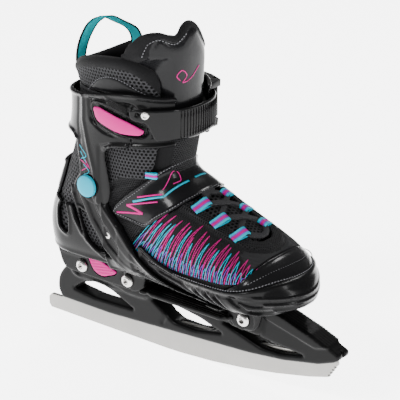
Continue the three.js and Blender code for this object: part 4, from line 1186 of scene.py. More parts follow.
def side_point(x, z, grow, side):
    """The place on the form's side at X and Z, and its outward direction."""
    low, high = 0.0, 75.0
    for _ in range(30):
        y = (low + high) / 2
        if FORM.out(np.array([[x, side * y, z]]))[0] < grow:
            low = y
        else:
            high = y
    place = np.array([x, side * low, z])
    return place, FORM.normal(place[None])[0]


def build_cuff():
    """The hinged cuff, recessed round the inlay, and its grip ridges."""
    b = Block((36, -58, 128), (188, 58, 240), CUFF_STEP)
    form = b.form()
    region = b.side(CUFF)
    near = b.y < 0
    bezel = polygon_distance(INLAY, b.x, b.z)
    outer = 6.3 + 1.5 * bump(region + 1.7, 1.9) * (b.z > 185)
    outer = outer - 1.3 * step_in(b.side(PAN), 2.5) * near + 1.7 * bump(bezel - 3.4, 1.5) * near * (b.z < 224)
    spine_edge = path_distance([(86, 224), (84, 204), (89, 184), (95, 164), (98, 146), (97, 136)], b.x, b.z)
    outer = outer + 1.1 * bump(spine_edge, 1.9) - 0.9 * step_in(b.side(CHAMFER), 3.0)
    step = path_distance([(106, 184), (118, 189.5), (136, 192), (166, 194)], b.x, b.z)
    outer = outer + 0.8 * bump(step, 1.8)
    outer = outer - 0.7 * bump(path_distance([(80, 222), (77, 200), (82, 165)], b.x, b.z), 1.6)
    outer = outer + 1.0 * step_in(b.side(RIB_PIECE), 2.0) * near
    boss = np.hypot(b.x - SCREW_SPOT[0], b.z - SCREW_SPOT[1])
    outer = outer + 0.9 * step_in(boss - 6, 3.5) * near
    seat = np.hypot(b.x - PIVOT[0], b.z - PIVOT[2])
    outer = outer - 1.0 * step_in(seat - 10.5, 1.2)
    body = soft_max(layer(form, CUFF_INSIDE, outer), region, 1.4)
    body = np.maximum(body, -b.box((150, -21, 120), (300, 21, 300), 2))
    body = np.maximum(body, -b.cross_rod(PIVOT[0], PIVOT[2], PIVOT_HOLE))
    body = np.maximum(body, -np.maximum(np.maximum(bezel - 0.5, 6.9 - form), b.y))
    body = np.maximum(body, -np.maximum(boss - SCREW_HOLE, b.y))
    notch = b.side([(131, 198), (134, 198), (133, 186), (130, 186)])
    body = soft_max(body, -np.maximum(notch, 5.2 - form), 0.8)
    attach(cast("cuff_shell", b, body, LOOKS["shell"], wrap="shaft"), "cuff_part", "shell_plastic", "cuff")
    ridges = []
    for k in range(5):
        ends = [(113 + k * 0.6, -44, 228.6 - k * 1.5), (123 + k * 0.3, -44, 226 - k * 1.4),
                (132, -43, 223.4 - k * 1.2)]
        ridges.append(laid_strip(ends, 7.2, 0.8, 0.8, 16, sides=6))
    grip = face_out(make_object("cuff_grip_ridges", *joined(ridges), LOOKS["shell"]))
    attach(grip, "cuff_part", "shell_plastic")


def build_inlay():
    """The pink inlay on the cuff, and the size button."""
    b = Block((92, -56, 200), (156, -24, 226), INLAY_STEP)
    region = b.side(INLAY)
    crown = 8.7 + 0.6 * np.clip(-region / 5, 0, 1)
    body = soft_max(layer(b.form(), 7.35, crown, 0.6), region, 1.2)
    inlay = cast("pink_inlay", b, body, LOOKS["pink"], wrap="shaft")
    attach(inlay, "cuff_part", "pink_plastic", "cuff_inlay")
    low, high = box_of("size_button")
    b = Block(low - 2, high + 2, BUTTON_STEP)
    region = b.side(BUTTON)
    swell = 0.55 * np.cos((b.z - 54 - 0.18 * b.x) / 2.6 * 2 * math.pi) * step_in(region + 1.4, 1.0)
    face = soft_max(region, soft_max(low[1] + 0.6 - 0.4 * swell - b.y, b.y - (low[1] + 3.2), 0.5), 0.9)
    stem = np.maximum(b.cross_rod(77, 62, 2.4), b.y - high[1])
    stem = np.maximum(stem, low[1] + 2 - b.y)
    body = soft_min(face, stem, 0.4)
    attach(cast("size_button_face", b, body, LOOKS["pink"]), "size_button", "pink_plastic", "size_button")


def build_fasteners():
    """Bolts, sleeve nuts, rivets, pivot pins and caps, the strap's screw, and the small pins."""
    for name, (x, _, z) in zip(("rear", "middle", "front"), BOLTS):
        shank = [(0.02, -10.0), (1.95, -10.0), (1.9, 13.0), (1.9, 13.9), (5.5, 13.9), (5.9, 14.3),
                 (5.9, 15.2), (5.0, 16.5), (3.6, 17.3), (3.1, 17.4), (2.7, 17.0), (2.6, 14.9), (0.02, 14.8)]
        bolt = turned_object(name + "_bolt_head", shank, (x, 0, z),
        (0, -1, 0), LOOKS["bolt"], socket=(9, 10))
        attach(bolt, "chassis", "fastener_steel", name + "_frame_bolt")
        nut = [(2.3, 3.2), (3.0, 3.2), (3.0, 14.4), (5.6, 14.4), (5.6, 15.6), (4.6, 16.8), (2.6, 17.3),
               (2.2, 17.0), (2.2, 15.4), (0.02, 15.3), (0.02, 14.0), (2.3, 12.5)]
        ring = turned_object(name + "_nut_head", nut + nut[:1], (x, 0, z), (0, 1, 0), LOOKS["bolt"],
                             socket=(7, 8))
        attach(ring, "chassis", "fastener_steel", name + "_sleeve_nut")
    for side, word in ((-1, "medial"), (1, "lateral")):
        low, high = box_of(word + "_arm_rivet")
        place = (low + high) / 2 * (1, 0, 1)
        inner, outer = sorted((abs(low[1]), abs(high[1])))
        stud = [(0.02, inner), (1.4, inner), (1.4, outer - 1.7), (4.1, outer - 1.7), (4.1, outer - 1.0),
                (3.1, outer - 0.2), (1.7, outer), (1.4, outer - 0.3), (0.02, outer - 0.4)]
        rivet = turned_object(word + "_rivet_head", stud, place, (0, side, 0), LOOKS["bolt"])
        attach(rivet, "chassis", "fastener_steel", word + "_arm_rivet")
        face = max(abs(corner[1]) for corner in box_of(word + "_pivot_cap"))
        inner = min(abs(corner[1]) for corner in box_of(word + "_pivot_rivet"))
        seat = [(0.02, inner), (4.0, inner), (4.0, face - 3.8), (6.8, face - 3.8), (6.8, face - 2.4),
                (0.02, face - 2.4)]
        pin = turned_object(word + "_pivot_pin", seat, PIVOT * (1, 0, 1), (0, side, 0), LOOKS["bolt"])
        attach(pin, "chassis", "fastener_steel", word + "_pivot_rivet")
        dome = [(7.3, face - 3.9), (9.2, face - 3.9), (9.3, face - 2.4), (8.9, face - 1.3),
                (7.6, face - 0.7), (5.2, face - 0.25), (2.6, face), (0.02, face), (0.02, face - 2.0),
                (7.3, face - 2.0)]
        cap = turned_object(word + "_cyan_cap", dome + dome[:1], PIVOT * (1, 0, 1), (0, side, 0),
                            LOOKS["cyan"], 56)
        attach(cap, "chassis", "cyan_plastic", word + "_pivot_cap")
    place, normal = side_point(*SCREW_SPOT, 0, -1)
    head = [(0.02, 4.4), (1.5, 4.4), (1.5, 11.8), (3.2, 11.8), (3.2, 12.5), (2.7, 13.1), (1.8, 13.3),
            (1.5, 13.1), (1.5, 12.3), (0.02, 12.3)]
    screw = turned_object("strap_screw_head", head, place, normal * (1, 1, 0), LOOKS["bolt"], socket=(7, 8))
    attach(screw, "cuff_part", "fastener_steel", "strap_screw")
    for node in ("lever_pin", "tab_pin", "button_spring"):
        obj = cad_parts[node]
        obj.data.materials.clear()
        obj.data.materials.append(LOOKS["bolt"])


def build_straps(tooth_pitch):
    """The ladder strap with its teeth, and the ratchet buckle."""
    b = Block((90, -60, 195), (182, 60, 228), STRAP_STEP)
    near_end = [(154, 198, 3), (300, 198), (300, 224), (136, 224, 4), (137, 215, 4), (150, 213, 4)]
    region = np.where(b.y > 0, b.box((92, -FAR, 198), (300, FAR, 224), 1.5), b.side(near_end))
    swell = 0.35 * np.clip(np.cos((b.z - 211) / 13 * math.pi / 2), 0, 1)
    body = soft_max(layer(b.form(), STRAP_INSIDE, STRAP_OUTSIDE + swell, 0.6), region, 1.2)
    hole = np.hypot(b.x - SCREW_SPOT[0], b.z - SCREW_SPOT[1]) - SCREW_HOLE
    body = np.maximum(body, -np.maximum(hole, b.y))
    strap = cast("ankle_strap", b, body, LOOKS["strap"], wrap="shaft")
    attach(strap, "cuff_part", "strap_plastic", "ladder_strap")
    start = [(166, -20, 211), (169.5, -10, 211), (171, 0, 211), (169.5, 10, 211), (166, 22, 211),
             (156, 36, 211)]
    path, ways = on_form(start, 11.5, 40)
    verts, faces = pattern_bar(22.5, 1.5, 1.1)
    tooth = (verts[:, [1, 0, 2]], faces[:, ::-1])       # the bar turned across the strap
    teeth = repeat("ratchet_teeth", [(path, ways)], tooth, tooth_pitch * 1000, LOOKS["strap"], wobble=0.0)
    attach(teeth, "cuff_part", "strap_plastic")
    crisp("buckle_frame", "buckle_base", LOOKS["shell"], "cuff_part", "shell_plastic", 0.8)
    crisp("buckle_ratchet_lever", "buckle_lever", LOOKS["strap"], "buckle_lever", "shell_plastic", 0.7)
    crisp("buckle_release_tab", "release_tab", LOOKS["strap"], "release_tab", "shell_plastic", 0.6)


STRAP_OUTLINE = [(108, 132, 4), (112.5, 125, 4), (143, 123, 4), (204, 173), (196, 195), (172, 189),
                 (152, 172.5), (119, 143.5)]


def build_instep_strap():
    """The instep strap with a raised bound edge."""
    low, high = box_of("instep_strap")
    b = Block(low - 3, high + (3, 3, 12), 1.0)
    form = b.form()
    region = b.side(STRAP_OUTLINE)
    edge = 0.9 * bump(region + 1.3, 1.2)
    swell = 0.5 * np.clip(-region / 9, 0, 1)
    body = soft_max(layer(form, 0.5, 2.0 + edge + swell, 0.6), region, 1.2)
    attach(cast("instep_strap_band", b, body, LOOKS["gloss"]), "chassis", "black_leatherette", "instep_strap")


REAR_FABRIC = [(0, 84.5), (128, 84.5), (128, 110), (146, 126), (204, 173), (204, 228), (0, 228)]
PIPING = [(100, 148), (106, 153), (119, 161.5), (134, 164.5), (143, 161)]
THROAT_LOW, THROAT_HIGH = (120, -24.5, 120), (300, 24.5, 400)       # the open front of the shaft
COLLAR_TOP = [(30, 238), (52, 241, 10), (80, 256, 16), (112, 261, 16), (132, 261, 12), (147, 252, 9),
              (154, 238, 6), (156, 214), (185, 214), (185, 100), (0, 100), (0, 238)]
BAND_TOP = [(0, 229), (87, 230), (100, 241, 8), (116, 246, 12), (136, 238, 10), (160, 229), (300, 229),
            (300, 0), (0, 0)]


def build_soft_boot():
    """The liner, the collar and the footbed."""
    b = Block((18, -50, 83), (186, 50, 229.5))
    panel = b.side([(104, 186), (112, 188), (150, 193), (152, 176), (136, 164), (119, 161), (104, 150)])
    puff = 0.9 * step_in(panel + 2, 5) - 0.5
    piping = path_distance(PIPING, b.x, b.z)
    second = path_distance([(108, 146), (118, 153), (132, 157), (142, 154)], b.x, b.z)
    outer = puff + 1.5 * bump(piping, 1.8) + 1.0 * bump(second, 1.5)
    region = np.maximum(b.side(REAR_FABRIC), -b.box(THROAT_LOW, THROAT_HIGH, 3))
    body = soft_max(layer(b.form(), PADDING, outer, 1.5), region, 2.0)
    liner = cast("liner_fabric", b, body, LOOKS["mesh"], wrap="shaft")
    under = PIPING + [(150, 150), (150, 84), (20, 84), (20, 140), (96, 140)]
    paint_faces(liner, LOOKS["fine"], lambda x, y, z:
                (z < 161) & (polygon_distance(under, x, z) < 0) & (x > 98))
    bend(liner, "chassis", "cuff_part", (100, 0, 154), (100, 0, 196), "mesh_fabric",
         "ankle_fabric", "shaft_fabric")

    b = Block((38, -52, 226), (166, 52, 266))
    form = b.form()
    top = b.side(COLLAR_TOP)
    band = b.side(BAND_TOP)
    outer = 0.2 + 2.0 * bump(top + 5.5, 4.5) + 0.8 * step_in(band, 3) - 0.7 * bump(band, 1.2)
    inner = -6.5 - 2.0 * bump(top + 6, 5)
    region = np.maximum(soft_max(top, 228.3 - b.z, 1), -b.box(THROAT_LOW, THROAT_HIGH, 6))
    body = soft_max(layer(form, inner, outer, 4.5), region, 5.5)
    collar = cast("collar_pad", b, body, LOOKS["lining"], 2, wrap="shaft")
    net_top = [(x, z - 9.0, *r) for x, z, *r in COLLAR_TOP[:7]] + [(150, 228), (0, 228)]
    for finish, outline in (("mesh", net_top), ("skin", BAND_TOP)):
        paint_faces(collar, LOOKS[finish], lambda x, y, z: (polygon_distance(outline, x, z) < 0)
                    & (FORM.out(np.stack([x, y, z], -1)) > -2.0))
    attach(collar, "cuff_part", "black_fabric", "collar_padding")

    b = Block((20, -50, 76), (282, 50, 86))
    body = soft_max(b.form() + 3.6, b.box((20, -50, 79), (282, 50, 84), 1), 1.2)
    body = body + 0.5 * bump(np.hypot((b.x - 70) / 22, b.y / 15) - 0.2, 0.6) * (b.z > 82)
    bed = cast("footbed_pad", b, body, LOOKS["lining"])
    attach(bed, "chassis", "black_fabric", "footbed")


TONGUE_TOP = [(-39, 258, 3), (-38, 272, 3), (-34, 282, 4), (-27, 284, 4), (-15, 278, 6), (-8, 286, 4),
              (1, 289, 4), (8, 286, 4), (16, 275, 6), (28, 262, 6), (33, 240, 6), (23, 226), (23, 158),
              (-23, 158), (-23, 226), (-35, 240, 6)]
TONGUE_PAINT = 197      # below this the tongue shows its lining and mesh


def tongue_tuck(y, z):
    """How far the tongue's edges are tucked in behind the collar."""
    edge = 1 - np.exp(-np.clip(np.abs(y) - 17, 0, None) ** 2 / 60)
    return -9.5 * edge * np.clip((264 - z) / 12, 0, 1)


def build_tongue():
    """The padded tongue, in three parts."""
    b = Block((118, -46, 154), (176, 40, 293))
    form = b.form()
    outline = np.maximum(polygon_distance(TONGUE_TOP, b.y, b.z), 122 - b.x)
    tuck = tongue_tuck(b.y, b.z)
    pillow = 1.6 * np.clip(-outline / 12, 0, 1) - 0.7 * bump(outline + 5.5, 1.1)
    curl = 3.0 * bump(b.z - 290, 7) * (b.y > -14)
    body = soft_max(layer(form, -3.4 + tuck - curl, 1.4 + tuck + pillow - curl, 2.4), outline, 2.4)
    tongue = cast("tongue_top", b, body, LOOKS["gloss"], 2, wrap="shaft")
    paint_faces(tongue, LOOKS["lining"], lambda x, y, z:
                (FORM.out(np.stack([x, y, z], -1)) < -1.6 + tongue_tuck(y, z))
                | (polygon_distance(TONGUE_TOP, y, z) > -4.5) | (z < TONGUE_PAINT))
    paint_faces(tongue, LOOKS["fine"], lambda x, y, z: (z < TONGUE_PAINT) & (np.abs(y) < 16)
                & (FORM.out(np.stack([x, y, z], -1)) > -1.0))
    bend(tongue, "chassis", "cuff_part", (165, 0, 166), (165, 0, 200), "black_leatherette", "upper_tongue")
    low, high = box_of("middle_tongue")
    b = Block(low - 3, high + 3)
    region = b.side([(121, 121), (146, 127), (204, 174), (204, 181), (PIVOT[0] + 32, PIVOT[2] + 9)])
    body = soft_max(layer(b.form(), PADDING, -0.6, 1.5), np.maximum(region, np.abs(b.y) - 23.8), 2.0)
    middle = cast("tongue_middle", b, body, LOOKS["mesh"])
    attach(middle, "chassis", "mesh_fabric", "middle_tongue")
    b = Block((140, -19, 112), (234, 19, 182))
    region = b.side([(147, 110), (230, 110), (230, 150), (206, 180), (204.5, 172.5), (146.5, 125.5)])
    body = soft_max(layer(b.form(), PADDING, -1.4 + 1.0 * np.clip((16 - np.abs(b.y)) / 10, 0, 1), 1.5),
                    np.maximum(region, np.abs(b.y) - 16.5), 2.0)
    lower = cast("tongue_lower", b, body, LOOKS["mesh"])
    attach(lower, "toe_part", "mesh_fabric", "lower_tongue")


FOREFOOT = [(128.5, 84.5), (300, 84.5), (300, 175), (204.5, 175), (204.5, 172.7), (146.5, 125.7),
            (128.5, 109.7)]
THROAT = [(100, -17), (222, -17, 8), (236, -10, 9), (236, 10, 9), (222, 17, 8), (100, 17)]
TOE_LINE = [(216, 60), (222, 92), (244, 107, 8), (262, 140), (330, 140), (330, 60)]


def build_vamp():
    """The forefoot cloth with its throat, and the toe cap."""
    b = Block((124, -52, 83), (284, 52, 176))
    form = b.form()
    throat = b.plan(THROAT)
    forefoot = b.side(FOREFOOT)
    toe = b.side(TOE_LINE)
    stay = step_in(throat - 9.5, 2.0) * (b.z > 112)
    welt = bump(path_distance([(216, 88), (222, 92), (244, 107), (262, 140)], b.x, b.z), 1.6)
    seam = path_distance([(233, 124), (244, 117), (256, 111)], b.x, b.z)
    outer = (1.6 * stay + 0.5 * bump(throat - 8.0, 1.2) - 0.5 * bump(throat - 11.3, 1.0)
             + 0.4 * welt - 0.5 * bump(seam, 1.1))
    region = soft_max(forefoot, -np.maximum(throat, 110 - b.z), 1.2)
    cloth_region = soft_max(region, -(toe - 0.3), 0.6)
    body = soft_max(layer(form, PADDING, outer, 1.5), cloth_region, 1.2)
    vamp = cast("vamp_upper", b, body, LOOKS["knit"])
    paint_faces(vamp, LOOKS["twill"], lambda x, y, z: (x > 233 + np.clip(-y - 30, 0, 12) * 1.8)
                & (polygon_distance(THROAT, x, y) > 11.3))
    paint_faces(vamp, LOOKS["fine"], lambda x, y, z: (polygon_distance(THROAT, x, y) < 9.5) & (z > 112))
    attach(vamp, "toe_part", "black_fabric", "vamp")
    cap_out = 0.7 + 0.7 * np.clip(-toe / 10, 0, 1) - 0.5 * bump(toe + 3.0, 1.0)
    body = soft_max(layer(form, PADDING, cap_out, 1.5), soft_max(forefoot, toe + 0.2, 0.6), 1.4)
    cap = cast("toe_cap_cover", b, body, LOOKS["gloss"])
    attach(cap, "toe_part", "black_leatherette", "toe_cap")


def tape(name, path, across, outward, width, thick, finish, closed=False):
    """A flat tape whose tape attribute runs from 0 to 1 over its width and in millimetres along it."""
    cuts = np.array([0, 0.13, 0.2, 0.38, 0.5, 0.62, 0.8, 0.87, 1.0])
    top = [((c - 0.5) * width, thick / 2) for c in cuts]
    section = top[::-1] + [(a, -thick / 2) for a, _ in top]
    verts, faces = swept(path, across, outward, section, closed)
    obj = make_object(name, verts, faces, finish)
    run = np.insert(np.cumsum(np.linalg.norm(np.diff(path, axis=0), axis=1)), 0, 0)
    wide = np.tile(np.concatenate([cuts[::-1], cuts]), len(path))
    values = np.stack([wide, run.repeat(len(section)), np.zeros(len(wide))], -1)
    obj.data.attributes.new("tape", "FLOAT_VECTOR", "POINT").data.foreach_set("vector", values.ravel())
    return face_out(obj)


LOOP_SPOTS = [("upper", 186, -20, 18), ("middle", 204, -20, 18), ("lower", 222, -19, 17)]


def webbing_loop(name, spot, side, width, turn=0.18, size=1.0):
    """A small bowed loop of striped webbing, standing on the boot and open towards the throat."""
    normal = FORM.normal(spot[None])[0]
    inward = np.array([turn, -side, 0.0])
    inward -= normal * (inward @ normal)
    inward /= np.linalg.norm(inward)
    along = np.cross(normal, inward)
    bow = [(-5.5, 0.6), (-2, 1.4), (2, 2.7), (6, 3.6), (8.6, 3.0), (9.2, 1.6), (8.0, 0.4), (4, 0.2),
           (-1, 0.0), (-5, -0.4)]
    ring = smooth_path([spot + (inward * s + normal * h) * size for s, h in bow], 44, closed=True)
    outward = np.cross(tangents(ring, True), along)
    across = np.tile(along, (len(ring), 1))
    return tape(name, ring, across, outward, width, 0.7, LOOKS["webbing"], closed=True)


def build_lacing(lace_width):
    """The webbing loops, the flat lace and the pull loop."""
    for level, x, near, far in LOOP_SPOTS:
        for word, y, side in (("medial", near, -1), ("lateral", far, 1)):
            spot = FORM.settle([(x, y, 150 - (x - 186) * 0.55)], 1.6)[0]
            obj = webbing_loop(f"{level}_{word}_webbing_loop", spot, side, 8.0)
            attach(obj, "toe_part", "cyan_ribbon", f"{level}_{word}_lace_loop")
    extra = webbing_loop("ankle_webbing_loop", FORM.settle([(144, -32, 165)], 1.0)[0], -1, 5.0, 0.9, 0.62)
    attach(extra, "chassis", "cyan_ribbon")
    down = [(177, 7, 152, 1.8), (186, -14, 150, 3.0), (195.5, 0, 146, 5.4), (205, 13, 140, 3.0),
            (213.5, 0, 138, 2.4), (222, -13, 134, 2.8), (230, -8, 130, 2.4), (233, 0, 129, 2.4),
            (230, 8, 130, 2.4), (222, 12, 134, 2.8), (213.5, 0, 138, 5.4), (204, -14, 142, 3.0),
            (195.5, 0, 146, 2.4), (187, 12, 149, 3.0), (177, -7, 152, 1.8)]
    verts, faces = laid_strip(down, 0.0, lace_width * 1000, 2.5, 240, sides=12)
    lace = face_out(make_object("flat_lace", verts, faces, LOOKS["lace"]))
    attach(lace, "toe_part", "lace_cord", "lace")
    pull = [[55, -8, 231], [54, -9.5, 240], [54.5, -8.5, 250], [56.5, -5, 261], [60, 1, 271], [66, 9, 275],
            [72, 18, 270], [78, 26, 264], [81, 29, 256], [81, 28, 248], [81, 27, 240]]
    path = smooth_path(pull, 110)
    turn = np.radians(90 - 78 * np.linspace(0, 1, len(path)))
    across = np.stack([np.cos(turn), np.sin(turn), turn * 0], -1)
    outward = np.cross(across, tangents(path))
    outward /= np.linalg.norm(outward, axis=1, keepdims=True)
    loop = tape("grosgrain_pull_loop", path, across, outward, 10.0, 1.2, LOOKS["grosgrain"])
    attach(loop, "cuff_part", "cyan_ribbon", "pull_loop")


BASE_LINE = [(125, -34, 103), (138, -35, 97.5), (157, -37, 97), (177, -40, 96.5), (201, -43, 98.5),
             (225, -46, 101), (241, -46, 105), (250, -42, 108), (254, -33, 112)]
TIPS = [(162, -31, 141), (170, -29, 143), (170, -33, 137), (180, -28, 140), (173, -36, 131),
        (181, -33, 134), (189, -28, 137), (194, -29, 135), (193, -36, 127), (202, -28.5, 133),
        (210, -28, 131), (215, -32, 126), (220, -29, 128), (225, -28, 127), (231, -28, 124.5),
        (235, -30, 122), (242, -30, 118), (248, -30, 116), (252, -31, 114)]
THREADS = 62
REACHES = (1.04, 0.42, 0.9, 0.3, 0.78, 0.36)       # tall and short threads in turn


def build_print():
    """Zigzag thread lines over the vamp, and the plain marks on strap, tongue and cuff."""
    base = smooth_path(BASE_LINE, 200)
    wave = np.random.default_rng(5)
    strips = {"cyan_thread": [], "pink_thread": [], "lilac_thread": []}
    for i in range(THREADS):
        share = i / THREADS
        foot = base[int(2 + share * 186)]
        leave = base[min(int(2 + share * 186) + 7, 199)]
        t = share * (len(TIPS) - 1)
        k = min(int(t), len(TIPS) - 2)
        tip = np.array(TIPS[k]) * (1 - t + k) + np.array(TIPS[k + 1]) * (t - k)
        reach = REACHES[i % len(REACHES)] + wave.uniform(-0.06, 0.06)
        tall = "cyan_thread" if i % 6 == 4 or i in (0, 8) else "pink_thread"
        name = ("lilac_thread" if i % 4 == 1 else "cyan_thread") if i % 2 else tall
        peak = foot + (tip - foot) * reach
        for start in (foot, leave):
            points = [start + (peak - start) * s + np.array([0, 0, 1.6]) * math.sin(s * math.pi)
                      for s in (0, 0.33, 0.67, 1)]
            strips[name].append(laid_strip(points, 0.15, 0.48, 0.45, 26, sides=6))
    for name, parts in strips.items():
        obj = face_out(make_object("vamp_" + name, *joined(parts), LOOKS[name]))
        attach(obj, "toe_part", "black_fabric")
    # each mark: its piece, finish, body, slot, height off the form, thickness, point count and lines
    marks = [
        ("strap_pink_print", "pink", "chassis", "black_leatherette", 2.45, 0.5, 30,
         [([(113, -36, 129.5), (140, -36, 134.5)], 1.6), ([(140, -36, 134.5), (123, -35.5, 138)], 2.2),
          ([(123, -35.5, 138), (152, -32, 146.5)], 1.3), ([(133, -35, 146.5), (154, -29, 153)], 1.3)]),
        ("strap_cyan_print", "cyan", "chassis", "black_leatherette", 2.45, 0.5, 30,
         [([(129, -35, 142), (143, -32, 147), (156, -28, 150.5)], 1.8),
          ([(156, -28, 150.5), (160, -18, 155.5), (164, -6, 160.5)], 1.8),
          ([(163, 2, 160), (163, 10, 160.5), (162, 18, 159)], 1.8)]),
        ("tongue_pink_curl", "pink", "cuff_part", "black_leatherette", 3.1, 0.6, 60,
         [([(164, -15, 244), (163, -18, 248), (164, -13, 252), (165, -8, 247), (164, -12, 242),
            (165, -3, 244), (165, 7, 252)], 0.8)]),
        ("strap_pink_curl", "pink", "chassis", "black_leatherette", 2.4, 0.6, 60,
         [([(153, -27, 156), (157, -24, 163), (161, -18, 169), (163, -12, 168), (162, -13, 163),
            (159, -20, 161)], 0.8)]),
        ("cuff_cyan_print", "cyan", "cuff_part", "shell_plastic", 6.3, 0.5, 30,
         [([(79, -40, 181), (87, -42, 174), (81, -41, 170)], 0.7), ([(80, -41, 176), (87, -42, 168)], 0.7),
          ([(84, -42, 166), (90, -43, 161), (84, -42, 157)], 0.7)]),
        ("cuff_pink_print", "pink", "cuff_part", "shell_plastic", 6.3, 0.5, 30,
         [([(80, -41, 169), (88, -43, 165), (82, -42, 160)], 0.7), ([(86, -42, 170),
            (91, -43, 164)], 0.7)])]
    for name, finish, body, slot, grow, thick, count, lines in marks:
        strips = [laid_strip(points, grow, width, thick, count, sides=6) for points, width in lines]
        attach(face_out(make_object(name, *joined(strips), LOOKS[finish])), body, slot)


def build_stitches(stitch_length):
    """Rows of thread along the bound edges."""
    thread = pattern_bar(stitch_length * 1000, 0.85, 0.5)
    gap = stitch_length * 1350
    near = [(121, -36, 141.5), (111, -36, 131.5), (114, -37, 128), (142, -37.5, 126.5), (152, -37, 134),
            (166, -34, 145), (176, -20, 155), (180, 0, 159), (177, 18, 156)]
    upper = [(121, -36, 141.5), (136, -34, 154), (150, -27, 166.5), (157, -14, 172.5), (158.5, 0, 174),
             (157, 12, 173)]
    rows = [on_form(near, 2.75), on_form(upper, 2.75)]
    attach(repeat("strap_stitches", rows, thread, gap, LOOKS["thread"]), "chassis", "black_leatherette")
    collar = [(88, -40, 229.3), (100, -42, 239.8), (114, -42, 244.3), (127, -41, 241.8), (138, -38, 236.3),
              (150, -31, 230.8), (157, -24, 228.3)]
    rows = [on_form([(x, y * side, z) for x, y, z in collar], 0.9) for side in (-1, 1)]
    attach(repeat("collar_stitches", rows, thread, gap, LOOKS["thread"]), "cuff_part", "black_leatherette")
    edge = [(141, -34, 265), (143, -33, 271), (146, -31, 276), (151, -26, 278), (156, -17, 273.5),
            (161, -8, 280)]
    attach(repeat("tongue_stitches", [on_form(edge, 2.3)], thread, gap, LOOKS["thread"]), "cuff_part",
           "black_leatherette")
    cap = [(250, -43, 106.5), (256, -34, 110.5), (261, -18, 113.5), (263, -2, 113.8), (261, 14, 111.5),
           (254, 28, 108)]
    welt = [(150, -38, 98.5), (170, -42, 95.5), (200, -46, 96.5), (232, -48, 99), (252, -44, 103),
            (268, -26, 108), (274, -8, 110), (272, 10, 109), (262, 24, 107), (240, 36, 102), (200, 42, 98)]
    stay = [(176, 26, 146), (196, 25.4, 137), (216, 25, 131), (230, 20, 127), (241, 9, 124),
            (243, 0, 123.5)]
    rows = [on_form(cap, 1.0), on_form(welt, 3.6)]
    rows += [on_form([(x, y * side, z) for x, y, z in stay], 0.3) for side in (-1, 1)]
    attach(repeat("forefoot_stitches", rows, thread, gap, LOOKS["thread"]), "toe_part", "black_leatherette")


FLOOR_HALF = 7      # half of the floor's side, in metres


def build_stage(looks):
    """The pale floor, the white surround, four lights and the camera."""
    scene = bpy.context.scene
    ground = -ORIGIN[2] / 1000
    mesh = bpy.data.meshes.new("floor")
    corners = [(x * FLOOR_HALF, y * FLOOR_HALF, ground) for x, y in ((-1, -1), (1, -1), (1, 1), (-1, 1))]
    mesh.from_pydata(corners, [], [(0, 1, 2, 3)])
    floor = linked("floor", mesh)
    material, _, shader = new_material("pale_floor", (0.94, 0.94, 0.94), 0.6)
    shader["Emission Color"].default_value = (1, 1, 1, 1)
    shader["Emission Strength"].default_value = looks.floor_glow
    mesh.materials.append(material)
    world = bpy.data.worlds.new("studio")
    scene.world = world
    world.use_nodes = True
    background = world.node_tree.nodes["Background"].inputs
    background["Color"].default_value = (1, 1, 1, 1)
    background["Strength"].default_value = looks.surround
    aim_at = Vector((-0.01542, 0.04499, 0.0360))
    back = Vector((0.5741, -0.7322, 0.3665)).normalized()
    for name, place, aim, size, power in (
            ("key", (-0.35, -1.1, 1.25), (0, 0, 0.02), (0.42, 0.34), looks.key_light),
            ("side", (1.5, -0.1, 0.75), (0.05, 0, 0.03), (0.14, 0.8), looks.key_light * 0.5),
            ("back", (-0.5, 1.2, 1.3), (0, 0, 0.1), (0.7, 0.25), looks.key_light * 0.6),
            ("low", (-1.3, -0.7, 0.25), (-0.05, 0, 0.05), (0.2, 0.6), looks.key_light * 0.25)):
        light = bpy.data.lights.new(name, "AREA")
        light.shape = "RECTANGLE"
        light.size, light.size_y = size
        light.energy = power
        lamp = linked(name, light)
        lamp.location = place
        lamp.rotation_mode = "QUATERNION"
        lamp.rotation_quaternion = (Vector(place) - Vector(aim)).to_track_quat("Z", "Y")
    camera = bpy.data.cameras.new("camera")
    camera.lens, camera.sensor_width = 139.3, 36
    eye = linked("camera", camera)
    eye.location = aim_at + back * 1.3
    eye.rotation_mode = "QUATERNION"
    eye.rotation_quaternion = (-back).to_track_quat("-Z", "Y")
    scene.camera = eye


# ---- the add-on: its settings, one operator for each group of pieces, and the sidebar ----
def color_setting(name, description, value):
    """A colour that the user can change."""
    return bpy.props.FloatVectorProperty(name=name, description=description, default=value, size=3,
                                         min=0, max=1, subtype="COLOR")


def length_setting(name, description, value):
    """A length that the user can change."""
    return bpy.props.FloatProperty(name=name, description=description, default=value, min=0.0001, max=0.05,
                                   unit="LENGTH", subtype="DISTANCE")


